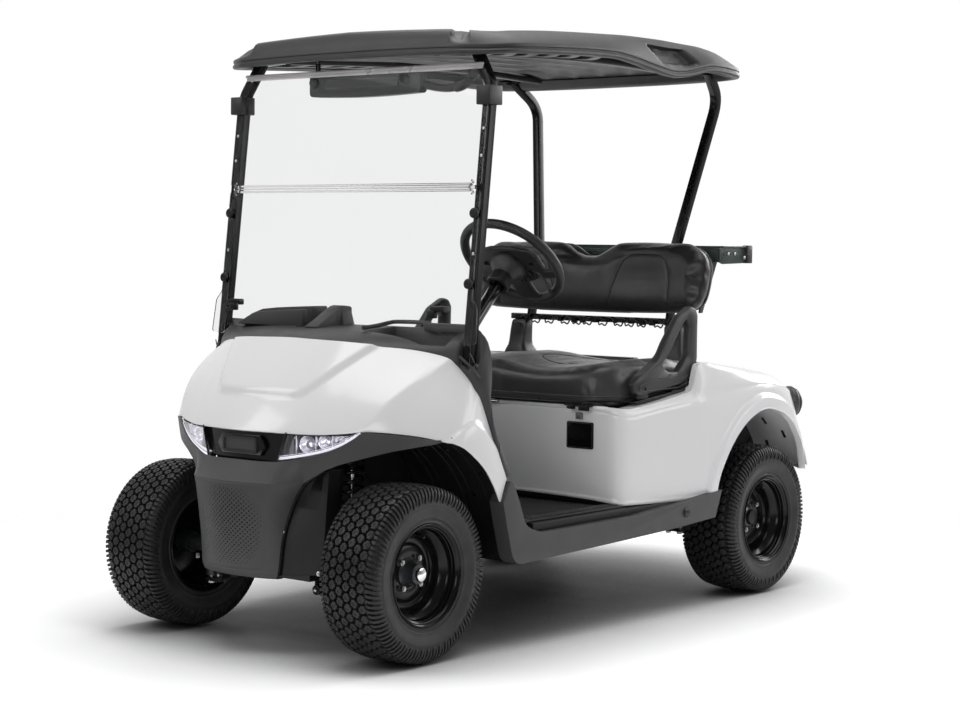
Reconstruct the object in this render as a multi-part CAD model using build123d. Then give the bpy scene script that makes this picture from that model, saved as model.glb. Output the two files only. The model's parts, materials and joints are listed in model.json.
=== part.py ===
from build123d import *
import os

# Two-seat electric golf cart. Millimetres, origin on the ground under the middle of the cart.
# The cart faces -Y, its left (driver's) side is +X, and +Z is up.

# ---------- driving dimensions ----------
LENGTH = 2400.0
WIDTH = 1194.0
HEIGHT = 1790.0
REAR_Y = LENGTH / 2
HALF_WIDTH = WIDTH / 2

FRONT_AXLE_Y = -925.0
REAR_AXLE_Y = 745.0
FRONT_TRACK_HALF = 431.0
REAR_TRACK_HALF = 489.0
WHEEL_R = 246.0

KINGPIN_X = 318.0
KINGPIN_R = 10.0
SPINDLE_R = 15.0
PIN_GAP = 0.3
STEER_ARM = (-30.0, 113.0)
TRACK_ROD_Z = 176.0

FLOOR_Z = 350.0
DOOR_HALF = 520.0
SEAT_HINGE = (-58.0, 650.0)
SEAT_BASE_Z = 657.0
CUSHION_Z = (669.0, 785.0)
BODY_WALL = 8.0
NOSE_WALL = 7.0

STEERING_CENTRE = (258.0, -237.0, 1095.0)
COLUMN_TILT = 44.5
STEERING_RING_R = 160.0
STEERING_GRIP_R = 14.0

os.makedirs("parts", exist_ok=True)


# ---------- helpers ----------
def block(x0, x1, y0, y1, z0, z1):
    centre = ((x0 + x1) / 2, (y0 + y1) / 2, (z0 + z1) / 2)
    return Pos(*centre) * Box(abs(x1 - x0), abs(y1 - y0), abs(z1 - z0))


def rod(start, end, radius):
    start, end = Vector(*start), Vector(*end)
    plane = Plane(origin=start, z_dir=end - start)
    return extrude(plane * Circle(radius), (end - start).length)


def bar(start, end, wide, deep, across=(1, 0, 0)):
    start, end = Vector(*start), Vector(*end)
    plane = Plane(origin=start, x_dir=Vector(*across), z_dir=end - start)
    return extrude(plane * Rectangle(wide, deep), (end - start).length)


def side_prism(points, x0, x1):
    face = Plane.YZ * make_face(Polyline(*points, close=True))
    return Pos(x0, 0, 0) * extrude(face, x1 - x0, dir=(1, 0, 0))


def plan_prism(points, z0, z1):
    return Pos(0, 0, z0) * extrude(make_face(Polyline(*points, close=True)), z1 - z0)


def front_prism(points, y0, y1):
    face = Plane.XZ * make_face(Polyline(*points, close=True))
    return Pos(0, y0, 0) * extrude(face, y1 - y0, dir=(0, 1, 0))


def cross_cylinder(y, z, radius, x0, x1):
    return rod((x0, y, z), (x1, y, z), radius)


def swept(points, bends, wide, deep):
    path = FilletPolyline(*points, radius=bends)
    start = Plane(origin=path @ 0, x_dir=(1, 0, 0), z_dir=path % 0)
    return sweep(start * Rectangle(wide, deep), path=path)


def mirrored(shape):
    return mirror(shape, Plane.YZ)


def with_mirror(shape):
    return [shape, mirrored(shape)]


def symmetric(half):
    # a closed outline from its +X half, listed from one end of the centre line to the other
    return half + [(-x, y) for x, y in reversed(half) if x > 0]


def revolved(profile):
    # profile points are (distance outward along +X, radius)
    face = make_face(Polyline(*profile, close=True))
    return revolve(face, Axis.X, 360)


def save(name, shape):
    pieces = shape if isinstance(shape, (list, tuple)) else [shape]
    solids = [solid for piece in pieces for solid in piece.solids()]
    whole = solids[0] if len(solids) == 1 else Compound(children=solids)
    whole.label = name
    export_step(whole, f"parts/{name}.step")


# ---------- nose form: hood, fenders, bumper brow and dash sides share it ----------
# columns: height, half width, y where the side starts, shoulder x, shoulder y, front centre y
NOSE_SECTIONS = [
    (405.0, 556.0, -800.0, 350.0, -1035.0, -1140.0),
    (610.0, 552.0, -800.0, 350.0, -1030.0, -1135.0),
    (720.0, 538.0, -765.0, 330.0, -955.0, -1055.0),
    (810.0, 505.0, -745.0, 310.0, -880.0, -975.0),
    (870.0, 462.0, -735.0, 290.0, -835.0, -925.0),
]
NOSE_BACK_Y = -500.0
CORNER_BULGE = 22.0


def nose_section(z, half, side_y, shoulder_x, shoulder_y, front_y, inset=0):
    half, shoulder_x = half - inset, shoulder_x - inset / 2
    shoulder_y, front_y = shoulder_y + inset, front_y + inset
    bulge_x = (half + shoulder_x) / 2 + CORNER_BULGE
    bulge_y = (side_y + shoulder_y) / 2 - CORNER_BULGE
    with BuildSketch(Plane.XY.offset(z)) as sketch:
        with BuildLine():
            Line((half, NOSE_BACK_Y), (half, side_y))
            ThreePointArc((half, side_y), (bulge_x, bulge_y), (shoulder_x, shoulder_y))
            ThreePointArc((shoulder_x, shoulder_y), (0, front_y), (-shoulder_x, shoulder_y))
            ThreePointArc((-shoulder_x, shoulder_y), (-bulge_x, bulge_y), (-half, side_y))
            Line((-half, side_y), (-half, NOSE_BACK_Y))
            Line((-half, NOSE_BACK_Y), (half, NOSE_BACK_Y))
        make_face()
    return sketch.sketch


def nose_form(inset):
    return loft([nose_section(*row, inset=inset) for row in NOSE_SECTIONS], ruled=True)


nose_outer = nose_form(0)
nose_shell = nose_outer - nose_form(NOSE_WALL)

# front wheel arch in side view
ARCH_Y, ARCH_Z, ARCH_R = -985.0, 235.0, 387.0
LINER_R = 406.0
LINER_WALL = 6.0

# the lower edge of the hood above the lamps, and its rear edge against the dash, as (y, z)
HOOD_EDGE = [(-1300, 622), (-952, 630), (-896, 612)]
HOOD_REAR = [(-925, 868), (-767, 833), (-726, 763), (-705, 711), (-609, 489), (-648, 424)]
DOOR_EDGE = [(-712, 918), (-671, 864), (-656, 766), (-663, 683), (-587, 530), (-548, 420)]


def arch_cutter(half_inner):
    cut = cross_cylinder(ARCH_Y, ARCH_Z, ARCH_R, half_inner, 700)
    return cut + mirrored(cut)


def build_front_cowl():
    side = HOOD_EDGE + [(-896, 400)] + list(reversed(HOOD_REAR)) + [(-1300, 880)]
    cowl = nose_shell & side_prism(side, -700, 700)
    return cowl - arch_cutter(300)


# ---------- bumper cowl, light panel and headlamps ----------
LAMP_TOP = [(130, 617), (241, 617), (362, 625)]
LAMP_BOTTOM = [(338, 605), (301, 582), (216, 554), (130, 542)]
BROW_BOTTOM = [(548, 598), (455, 578), (355, 547), (250, 525)]
# columns: height, front half width, y at that corner, y at the centre, rear half width
BUMPER_SECTIONS = [
    (220.0, 136.0, -1132.0, -1165.0, 158.0),
    (300.0, 142.0, -1150.0, -1190.0, 166.0),
    (479.0, 152.0, -1155.0, -1200.0, 190.0),
    (538.0, 150.0, -1128.0, -1150.0, 215.0),
]
BUMPER_BACK_Y = -1040.0


def bumper_form(inset):
    faces = []
    for z, half, corner_y, front_y, rear_half in BUMPER_SECTIONS:
        with BuildSketch(Plane.XY.offset(z)) as sketch:
            with BuildLine():
                Line((rear_half - inset, BUMPER_BACK_Y), (half - inset, corner_y + inset))
                ThreePointArc(
                    (half - inset, corner_y + inset), (0, front_y + inset), (inset - half, corner_y + inset)
                )
                Line((inset - half, corner_y + inset), (inset - rear_half, BUMPER_BACK_Y))
                Line((inset - rear_half, BUMPER_BACK_Y), (rear_half - inset, BUMPER_BACK_Y))
            make_face()
        faces.append(sketch.sketch)
    return loft(faces, ruled=True)


def build_bumper_cowl():
    face = bumper_form(0) - bumper_form(NOSE_WALL)
    brow_half = [(240, 525), (130, 525), (130, 541)] + [(x, z - 1) for x, z in reversed(LAMP_BOTTOM[:3])]
    brow_half += [(363, 625), (455, 618), (548, 607)] + BROW_BOTTOM[:3]
    brow = front_prism(brow_half, -1300, -860)
    brow_band = nose_shell & (brow + mirrored(brow))
    bridge = nose_shell & front_prism([(-131, 525), (131, 525), (131, 541), (-131, 541)], -1300, -860)
    return face + brow_band + bridge


def build_light_panel():
    outline = [(-129, 542), (129, 542), (129, 618), (-129, 618)]
    return nose_shell & front_prism(outline, -1300, -1000)


def build_headlamps():
    lamp = front_prism(LAMP_TOP + LAMP_BOTTOM, -1300, -900)
    body = (nose_form(3) - nose_form(50)) & lamp
    return with_mirror(body)


# ---------- dashboard ----------
DASH_TOP = [(-925, 870), (-860, 884), (-720, 905), (-668, 900), (-650, 880)]
DASH_FACE_Y = -650.0
DASH_WALL = 8.0
BINNACLE = [(-716, 895), (-706, 938), (-690, 950), (-654, 935), (-654, 885)]
BINNACLE_X = (-392.0, -10.0)
TRAY = (165.0, 440.0, -795.0, -672.0, 838.0)


def build_dashboard():
    under = [(-672, 891), (-720, 896), (-860, 875), (-912, 863)]
    face = [(DASH_FACE_Y, 690), (DASH_FACE_Y - DASH_WALL, 690), (DASH_FACE_Y - DASH_WALL, 876)]
    bridge = side_prism(DASH_TOP + face + under, -500, 500)
    x0, x1, y0, y1, z0 = TRAY
    tray_box = block(x0 - 4, x1 + 4, y0 - 4, y1 + 4, z0 - 4, 898)
    column = extrude(nose_section(*NOSE_SECTIONS[-1]), 100)
    column += extrude(nose_section(*NOSE_SECTIONS[-1]), -250)
    dash = (bridge + side_prism(BINNACLE, *BINNACLE_X) + tray_box) & column
    dash -= block(x0, x1, y0, y1, z0, 960)
    outline = HOOD_REAR[1:] + list(reversed(DOOR_EDGE)) + [(-767, 918)]
    return dash + (nose_shell & side_prism(outline, -700, 700))


# ---------- struts ----------
FRONT_STRUT_PATH = [(488, -716, 836), (486, -633, 1590), (425, -622, 1690)]
REAR_STRUT_PATH = [(260, 585, 1000), (377, 712, 1636), (408, 604, 1722)]
FRONT_STRUT_SIDE = 30.0
REAR_STRUT_SIDE = 29.0


def build_front_strut():
    return swept(FRONT_STRUT_PATH, 70, FRONT_STRUT_SIDE, FRONT_STRUT_SIDE)


def build_rear_strut():
    return swept(REAR_STRUT_PATH, 90, REAR_STRUT_SIDE, REAR_STRUT_SIDE)


# ---------- windscreen ----------
PANE_T = 5.0
SCREEN_HALF = 495.0
RAIL_HALF = 461.0
RAIL_Z = 1304.0


def screen_y(z):
    # the panes stand just in front of the struts and lean back with them
    return -687.0 + 0.111 * (z - RAIL_Z)


LOWER_PANE = [(0, 911), (250, 909), (391, 897), (438, 882), (486, 862), (524, 868), (518, 965), (498, 992)]


def pane_slab():
    front = [(screen_y(z), z) for z in (840, 1700)]
    rear = [(y + PANE_T, z) for y, z in reversed(front)]
    return side_prism(front + rear, -600, 600)


def build_lower_pane():
    outline = LOWER_PANE + [(SCREEN_HALF, RAIL_Z - 9.5), (0, RAIL_Z - 9.5)]
    return pane_slab() & front_prism(symmetric(outline), -900, -500)


def build_upper_pane():
    corner = [(SCREEN_HALF, RAIL_Z + 9.5), (SCREEN_HALF, 1540), (480, 1590), (440, 1640)]
    outline = [(0, RAIL_Z + 9.5)] + corner + [(0, 1640)]
    return pane_slab() & front_prism(symmetric(outline), -900, -500)


def build_screen_rail():
    y = screen_y(RAIL_Z)
    return block(-RAIL_HALF, RAIL_HALF, y - 3, y + 9, RAIL_Z - 9, RAIL_Z + 9)


# ---------- roof ----------
ROOF_TOP = [(-702, 1690), (-692, 1737), (-200, 1772), (200, 1788), (480, HEIGHT), (600, 1782), (652, 1745)]
ROOF_BOTTOM = [(655, 1700), (420, 1704), (350, 1686), (17, 1708), (-191, 1704), (-574, 1672), (-690, 1666)]
ROOF_HALF = [(0, -704), (400, -692), (500, -660), (540, -600), (556, 0), (556, 520), (530, 610), (420, 650)]
ROOF_HALF += [(0, 656)]
ROOF_FRONT_HALF = [(0, 1795), (400, 1784), (470, 1762), (530, 1728), (560, 1700), (560, 1650), (0, 1650)]


def build_roof():
    slab = side_prism(ROOF_TOP + ROOF_BOTTOM, -600, 600)
    slab &= plan_prism(symmetric(ROOF_HALF), 1600, 1900)
    slab &= front_prism(symmetric(ROOF_FRONT_HALF), -800, 800)
    inner = [(-650, 1600), (-640, 1702), (-200, 1736), (480, 1752), (600, 1735), (610, 1600)]
    recess = side_prism(inner, -470, 470)
    return slab - recess


# ---------- mirror ----------
def build_mirror():
    half = [(0, -640), (190, -636), (218, -616), (190, -598), (0, -594)]
    housing = plan_prism(symmetric(half), 1580, 1646)
    stem = block(-190, -150, -628, -606, 1646, 1730) + block(150, 190, -628, -606, 1646, 1730)
    return housing + stem


# ---------- floor, rockers ----------
TOE_BOARD = [(-560, FLOOR_Z), (-604, 450), (-658, 527), (-756, 612), (-756, 832)]


def build_floor_pan():
    back = [(-766, 832), (-766, 608), (-666, 520), (-614, 446), (-572, 344), (-572, 320)]
    profile = TOE_BOARD + back + [(-52, 320), (-52, FLOOR_Z)]
    pan = side_prism(profile, -DOOR_HALF, DOOR_HALF)
    keep = nose_form(NOSE_WALL + 2) + block(-DOOR_HALF, DOOR_HALF, -650, -40, 300, 500)
    return pan & keep


def build_rocker():
    side = [(-648, 424), (-609, 487), (-596, 483), (-557, 400), (-540, 366), (-500, 362)]
    side += [(444, 364), (409, 285), (-590, 257), (-606, 268)]
    plan = [(538, -660), (562, -660), (566, -560), (590, 300), (590, 460), (538, 460)]
    panel = side_prism(side, 500, 600) & plan_prism(plan, 200, 500)
    ledge = block(DOOR_HALF + 1, 540, -500, 430, 322, 362)
    return panel + ledge


# ---------- rear body ----------
BODY_TOP = [(-50, 655), (16, 650), (300, 688), (326, 706), (345, 760), (364, 780), (470, 770), (816, 733)]
BODY_TOP += [(930, 710), (1000, 666), (1060, 590)]
BODY_REAR = [(1100, 500), (1116, 390)]
BODY_PLAN = [(495, -50), (528, -38), (541, -8), (562, 296), (590, 520), (HALF_WIDTH, 700), (594, 860)]
BODY_PLAN += [(583, 960), (562, 1020), (530, 1070), (480, 1100), (420, 1118)]
REAR_ARCH_Y, REAR_ARCH_Z, REAR_ARCH_R = 715.0, 320.0, 297.0
SEAT_BAY = (490.0, -42.0, 432.0)
HIP_POCKET = (534.0, 30.0, 432.0, 684.0)
BAG_BAY = (378.0, 690.0)


def body_form(inset, floor_z):
    top = [(y, z - inset) for y, z in BODY_TOP]
    rear = [(y - inset, z) for y, z in BODY_REAR]
    top[0] = (-50 + inset, 655 - inset)
    profile = [(-50 + inset, floor_z)] + top + rear + [(1118 - inset, floor_z)]
    plan = [(x - inset, y) for x, y in BODY_PLAN]
    plan = [(plan[0][0], -50 + inset)] + plan[1:-1] + [(plan[-1][0], 1118 - inset)]
    return side_prism(profile, -620, 620) & plan_prism(symmetric(plan), 200, 900)


def build_rear_body():
    body = body_form(0, 366) - body_form(BODY_WALL, 300)
    body -= block(-SEAT_BAY[0], SEAT_BAY[0], SEAT_BAY[1], SEAT_BAY[2], 500, 900)
    body -= block(-HIP_POCKET[0], HIP_POCKET[0], HIP_POCKET[1], HIP_POCKET[2], HIP_POCKET[3], 900)
    body -= block(-BAG_BAY[0], BAG_BAY[0], BAG_BAY[1], 1300, 300, 900)
    arches = cross_cylinder(REAR_ARCH_Y, REAR_ARCH_Z, REAR_ARCH_R, 350, 700)
    body -= arches + mirrored(arches)
    return body


def build_rear_liners():
    outer = cross_cylinder(REAR_ARCH_Y, REAR_ARCH_Z, REAR_ARCH_R + LINER_WALL, 381, 590)
    inner = cross_cylinder(REAR_ARCH_Y, REAR_ARCH_Z, REAR_ARCH_R, 360, 600)
    hoop = (outer - inner) & body_form(BODY_WALL + 1, 380)
    return with_mirror(hoop)


def build_front_liners():
    outer = cross_cylinder(ARCH_Y, ARCH_Z, LINER_R + LINER_WALL, 225, 545)
    inner = cross_cylinder(ARCH_Y, ARCH_Z, LINER_R, 215, 560)
    keep = nose_form(NOSE_WALL + 3) & block(200, 535, -1000, -500, 405, 700)
    low = block(225, 535, -700, -560, 262, 405)
    hoop = (outer - inner) & (keep + low)
    return with_mirror(hoop)


def build_bagwell():
    half, front = BAG_BAY[0] - 2, BAG_BAY[1] + 2
    tub = block(-half, half, front, 1130, 470, 740)
    tub -= block(10 - half, half - 10, front + 10, 1200, 480, 800)
    above = [(front, 800), (front, 742), (816, 730), (930, 707), (1000, 663), (1060, 587)]
    above += [(1140, 470), (1200, 800)]
    slope = side_prism(above, -500, 500)
    return tub - slope


# ---------- seat ----------
def build_seat_base():
    plate = block(-476, 476, -58, 424, SEAT_BASE_Z, CUSHION_Z[0] - 0.5)
    barrel = rod((-70, *SEAT_HINGE), (70, *SEAT_HINGE), 5)
    leaf = block(-60, 60, SEAT_HINGE[0] - 3, SEAT_HINGE[0] + 3, SEAT_HINGE[1], SEAT_BASE_Z + 1)
    return plate + barrel + leaf


def build_seat_cushion():
    half = [(0, -78), (330, -74), (440, -40), (482, 30), (486, 120), (486, 400), (440, 424), (0, 428)]
    lower = plan_prism(symmetric(half), CUSHION_Z[0], 745)
    crown = [(x * 0.93, y * 0.9 + 16) for x, y in symmetric(half)]
    upper = loft([
        Pos(0, 0, 745) * make_face(Polyline(*symmetric(half), close=True)),
        Pos(0, 0, CUSHION_Z[1]) * make_face(Polyline(*crown, close=True)),
    ], ruled=True)
    return lower + upper


BACK_SIDE = [(466, 924), (482, 912), (548, 914), (586, 1135), (574, 1151), (516, 1151), (500, 1140)]


def build_seat_back():
    front = [(0, 905), (425, 905), (455, 930), (458, 1110), (430, 1155), (120, 1155), (60, 1135), (0, 1132)]
    return side_prism(BACK_SIDE, -470, 470) & front_prism(symmetric(front), 400, 700)


def back_y(z):
    # rear face of the backrest
    return 548 + (z - 914) * 38 / 221


def build_back_frame():
    frame = block(-455, 455, 566, 592, 884, 908)
    for x in (-290, 290):
        face = [(back_y(908) + 4, 900), (592, 900), (back_y(1130) + 16, 1130), (back_y(1130) + 4, 1130)]
        frame += side_prism(face, x - 20, x + 20)
        frame += block(x - 20, x + 20, 592, RACK_FRONT_Y, 1100, 1130)
    return frame


HIP_OUTER = [(41, 724), (60, 736), (165, 793), (213, 867), (292, 927), (350, 954), (376, 956), (390, 940)]
HIP_OUTER += [(390, 783), (371, 726), (279, 691), (80, 689), (46, 696)]
HIP_HOLE = [(340, 915), (343, 784), (287, 760), (206, 763), (196, 778), (235, 805), (313, 897)]


def build_hip_restraints():
    arm = side_prism(HIP_OUTER, 494, 526) - side_prism(HIP_HOLE, 480, 540)
    return with_mirror(arm)


def build_seat_supports():
    foot = Plane.XY.offset(800) * Rectangle(104, 74)
    head = Plane.XY.offset(884) * Rectangle(64, 44)
    post = Pos(326, 566, 0) * loft([foot, head], ruled=True)
    skirt = Pos(326, 566, 0) * block(-52, 52, -37, 37, 760, 800)
    return with_mirror(post + skirt - body_form(0, 366))


# ---------- bag rack ----------
RACK_Y = (782.0, 812.0)
RACK_Z = (1096.0, 1150.0)
RACK_FRONT_Y = 626.0
RACK_HALF = 450.0
RACK_HOLE_Z = 1123.0
RACK_HOLE_R = 4.5
RACK_HOLE_X = 200.0


def build_bag_rack():
    rack = block(-RACK_HALF, RACK_HALF, *RACK_Y, *RACK_Z)
    rack -= block(-RACK_HALF, RACK_HALF, RACK_Y[0] + 3, RACK_Y[1] + 1, RACK_Z[0] + 3, RACK_Z[1] - 3)
    for x in (-RACK_HOLE_X, RACK_HOLE_X):
        rack -= rod((x, RACK_Y[0] - 5, RACK_HOLE_Z), (x, RACK_Y[0] + 8, RACK_HOLE_Z), RACK_HOLE_R)
    rack += block(-444, 444, RACK_FRONT_Y, RACK_FRONT_Y + 6, RACK_Z[0], 1141)
    side = block(442, RACK_HALF, RACK_FRONT_Y, RACK_Y[0], 1092, 1148)
    brace = side_prism([(600, 1100), (676, 1100), (583, 908), (566, 908)], 405, 413)
    brace += block(413, 443, 628, 652, 1096, 1104)
    return rack + side + mirrored(side) + brace + mirrored(brace)


# ---------- steering wheel ----------
def column_frame():
    return Location(STEERING_CENTRE) * Rot(-COLUMN_TILT, 0, 0)


def build_steering_wheel():
    wheel = Torus(STEERING_RING_R, STEERING_GRIP_R)
    wheel += Pos(0, 0, -14) * Cylinder(46, 44)
    for angle in (0, 90, 180):
        spoke = Rot(0, 0, angle) * block(30, STEERING_RING_R - 4, -16, 16, -10, 4)
        wheel += spoke
    wheel += Pos(0, 0, -60) * Cone(24, 44, 48)
    return column_frame() * wheel


def build_steering_column():
    top, foot = -84.5, -704.0
    jacket = Pos(0, 0, (top + foot) / 2) * Cylinder(19, top - foot)
    return column_frame() * jacket


# ---------- pedals ----------
def build_pedals():
    pads = []
    for x, wide in ((105, 90), (215, 62)):
        pad = bar((x, -560, 400), (x, -590, 500), wide, 10)
        arm = bar((x, -574, 430), (x, -640, 560), 16, 10)
        pads.append(pad + arm)
    return pads


# ---------- frame, axles and springs ----------
RAIL_X = (140.0, 190.0)
RAIL_SIDE = [(-1040, 205), (380, 205), (520, 345), (1112, 345)]
RAIL_SIDE += [(1112, 405), (495, 405), (355, 275), (-1040, 275)]
TOWER_X, TOWER_Z = 240.0, 588.0


def build_chassis_frame():
    rail = side_prism(RAIL_SIDE, *RAIL_X)
    frame = rail + mirrored(rail)
    for y0, y1, z0, z1, half in (
        (-1040, -1000, 205, 275, 190), (-560, -520, 275, 319, 515), (-300, -260, 275, 319, 515),
        (-50, -10, 275, 340, 515), (300, 340, 215, 265, 190), (1072, 1112, 345, 405, 190),
    ):
        frame += block(-half, half, y0, y1, z0, z1)
    for y0, y1 in ((-1000, -960), (-880, -840)):
        frame += block(-190, 190, y0, y1, 215, 265)
    tower = front_prism([(150, 270), (160, 270), (160, 576), (275, 576), (275, 588), (150, 588)], -955, -895)
    frame += tower + mirrored(tower)
    tray = block(-300, 300, 20, 354, 277, 285)
    frame += tray + block(-190, 190, 20, 60, 265, 279)
    return frame


def build_battery_pack():
    return block(-290, 290, 30, 350, 285.5, 560)


def build_front_suspension():
    y = FRONT_AXLE_Y
    sides = []
    for leg in (-75, 75):
        sides.append(bar((192, y + leg, 180), (272, y, 160), 22, 22, across=(0, 1, 0)))
    arm = sides[0] + sides[1]
    arm += block(186, 200, y - 92, y + 92, 168, 192)
    post = block(262, 282, y - 20, y + 20, 138, 354)
    ears = block(270, 334, y - 14, y + 14, 138, 150) + block(270, 334, y - 14, y + 14, 342, 354)
    pin = rod((KINGPIN_X, y, 145), (KINGPIN_X, y, 348), KINGPIN_R)
    lug = block(222, 270, y - 24, y + 24, 150, 180)
    hanger = block(186, 190, y - 92, y + 92, 190, 205)
    return with_mirror(arm + post + ears + pin + lug + hanger)


def build_front_shocks():
    y = FRONT_AXLE_Y
    damper = rod((TOWER_X, y, 180), (TOWER_X, y, 350), 18)
    coil = rod((TOWER_X, y, 340), (TOWER_X, y, 560), 20)
    stem = rod((TOWER_X, y, 560), (TOWER_X, y, 576), 10)
    return with_mirror(damper + coil + stem)


def build_rear_axle():
    y, z = REAR_AXLE_Y, WHEEL_R
    axle = cross_cylinder(y, z, 34, -424, 424)
    for side in (-1, 1):
        axle += cross_cylinder(y, z, 92, side * 424, side * 470)
        axle += cross_cylinder(y, z, 14, side * 470, side * 492)
    axle += cross_cylinder(y, z, 88, -70, 70)
    axle += block(-130, 130, 530, 700, 175, 335)
    return axle


def build_rear_springs():
    leaf = side_prism([(470, 322), (480, 334), (745, 212), (1010, 334), (1020, 322), (745, 196)], 215, 265)
    eyes = cross_cylinder(475, 328, 14, 190, 265) + cross_cylinder(1015, 328, 14, 190, 265)
    damper = rod((290, 690, 214), (290, 640, 560), 20)
    clamp = block(213, 300, 680, 810, 196, 211.5)
    spring = leaf + eyes + clamp + damper
    spring -= cross_cylinder(REAR_AXLE_Y, WHEEL_R, 34.2, 180, 320)
    frame_gap = side_prism(RAIL_SIDE, RAIL_X[0], RAIL_X[1])
    return with_mirror(spring - frame_gap)


def build_rear_bumper():
    outline = [(-430, 1150), (-400, 1172), (400, 1172), (430, 1150), (430, 1180), (405, REAR_Y)]
    outline += [(-405, REAR_Y), (-430, 1180)]
    beam = plan_prism(outline, 345, 440)
    for x in (-165, 165):
        beam += block(x - 22, x + 22, 1112.5, 1175, 352, 398)
    return beam


# ---------- wheels ----------
TYRE_PROFILE = [(-81, 128), (81, 128), (81, 142), (93, 152), (102, 185), (100, 218), (88, 238), (70, WHEEL_R)]
TYRE_PROFILE += [(-x, r) for x, r in reversed(TYRE_PROFILE[2:])]
RIM_PROFILE = [(-87, 141), (-82, 141), (-82, 127.5), (-52, 127.5), (-42, 108), (42, 108), (52, 127.5)]
RIM_PROFILE += [(82, 127.5), (82, 141), (87, 141), (87, 123.5), (49, 123.5), (39, 104), (-39, 104)]
RIM_PROFILE += [(-49, 123.5), (-87, 123.5)]
DISC_OUT = 17.0


def build_rim(front):
    rim = revolved(RIM_PROFILE)
    bore = SPINDLE_R + PIN_GAP
    rim += revolved([(DISC_OUT - 6, bore), (DISC_OUT, bore), (DISC_OUT, 106), (DISC_OUT - 6, 106)])
    if front:
        rim += revolved([(-34, bore), (44, bore), (44, 0), (56, 0), (56, 26), (18, 32), (-34, 32)])
    else:
        rim += revolved([(10, bore), (18, bore), (18, 0), (28, 0), (28, 30), (10, 30)])
    return rim


def place_wheel(shape, side, front):
    if side < 0:
        shape = mirrored(shape)
    x = FRONT_TRACK_HALF if front else REAR_TRACK_HALF
    y = FRONT_AXLE_Y if front else REAR_AXLE_Y
    return Pos(side * x, y, WHEEL_R) * shape


def build_knuckle():
    y = FRONT_AXLE_Y
    sleeve = rod((KINGPIN_X, y, 156), (KINGPIN_X, y, 336), 19)
    spindle = rod((KINGPIN_X, y, WHEEL_R), (FRONT_TRACK_HALF + 40, y, WHEEL_R), SPINDLE_R)
    shoulder = rod((KINGPIN_X, y, WHEEL_R), (FRONT_TRACK_HALF - 38, y, WHEEL_R), 24)
    end = (KINGPIN_X + STEER_ARM[0], y + STEER_ARM[1], 202)
    arm = bar((KINGPIN_X - 2, y + 8, 202), end, 20, 14, across=(1, 0, 0))
    eye = Pos(*end) * Cylinder(16, 14)
    knuckle = sleeve + spindle + shoulder + arm + eye
    return knuckle - rod((KINGPIN_X, y, 100), (KINGPIN_X, y, 400), KINGPIN_R + PIN_GAP)


def build_track_rod():
    y = FRONT_AXLE_Y + STEER_ARM[1]
    x = KINGPIN_X + STEER_ARM[0]
    rods = cross_cylinder(y, TRACK_ROD_Z, 11, -x, x)
    for side in (-1, 1):
        rods += Pos(side * x, y, TRACK_ROD_Z) * Cylinder(18, 25)
    return rods


# ---------- rear lamps ----------
TAIL_LAMP = (440.0, 612.0)


def build_tail_lamps():
    x, z = TAIL_LAMP
    dome = rod((x, 1020, z), (x, 1104, z), 52) + rod((x, 1104, z), (x, 1120, z), 40)
    return with_mirror(dome - body_form(0, 366))


front_strut = build_front_strut()
rear_strut = build_rear_strut()
mirror_unit = build_mirror()
roof = build_roof() - front_strut - mirrored(front_strut) - rear_strut - mirrored(rear_strut)
bumper = build_bumper_cowl()
cowl = build_front_cowl()
rocker = build_rocker()
dash = build_dashboard() - cowl - front_strut - mirrored(front_strut) - rocker - mirrored(rocker)
cowl = cowl - front_strut - mirrored(front_strut)
floor = build_floor_pan()
column = build_steering_column()
dash = dash - floor - column
frame = build_chassis_frame()
rear_body = build_rear_body()
back_frame = build_back_frame() - rear_strut - mirrored(rear_strut)
rack = build_bag_rack() - rear_strut - mirrored(rear_strut)

save("front_cowl", cowl)
save("bumper_cowl", bumper - cowl)
save("light_panel", build_light_panel())
save("headlamps", build_headlamps())
save("dashboard", dash)
save("front_struts", with_mirror(front_strut))
save("rear_struts", with_mirror(rear_strut))
save("windscreen_lower", build_lower_pane() - dash - cowl)
save("windscreen_upper", build_upper_pane())
save("windscreen_rail", build_screen_rail())
save("roof", roof)
save("cabin_mirror", mirror_unit - roof)
save("floor_pan", floor)
save("rockers", with_mirror(rocker))
save("rear_body", rear_body)
save("rear_wheel_liners", build_rear_liners())
save("front_wheel_liners", build_front_liners())
save("bagwell", build_bagwell())
save("seat_base", build_seat_base())
save("seat_cushion", build_seat_cushion())
save("seat_back", build_seat_back())
save("seat_back_frame", back_frame)
save("hip_restraints", build_hip_restraints())
save("seat_supports", build_seat_supports())
save("bag_rack", rack)
save("steering_wheel", build_steering_wheel())
save("steering_column", column)
save("pedals", build_pedals())
save("chassis_frame", frame)
save("battery_pack", build_battery_pack())
save("front_suspension", build_front_suspension())
save("front_shocks", build_front_shocks())
save("rear_axle", build_rear_axle())
save("rear_springs", build_rear_springs())
save("rear_bumper", build_rear_bumper())
save("tail_lamps", build_tail_lamps())
save("track_rod", build_track_rod())
for side, hand in ((1, "left"), (-1, "right")):
    knuckle = build_knuckle()
    save(f"knuckle_{hand}", knuckle if side > 0 else mirrored(knuckle))
    for front, end in ((True, "front"), (False, "rear")):
        save(f"rim_{end}_{hand}", place_wheel(build_rim(front), side, front))
        save(f"tyre_{end}_{hand}", place_wheel(revolved(TYRE_PROFILE), side, front))
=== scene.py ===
import json
import math
import random

import bmesh
import bpy
from mathutils import Matrix, Vector, noise
from mathutils.bvhtree import BVHTree
from mathutils.kdtree import KDTree

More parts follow.
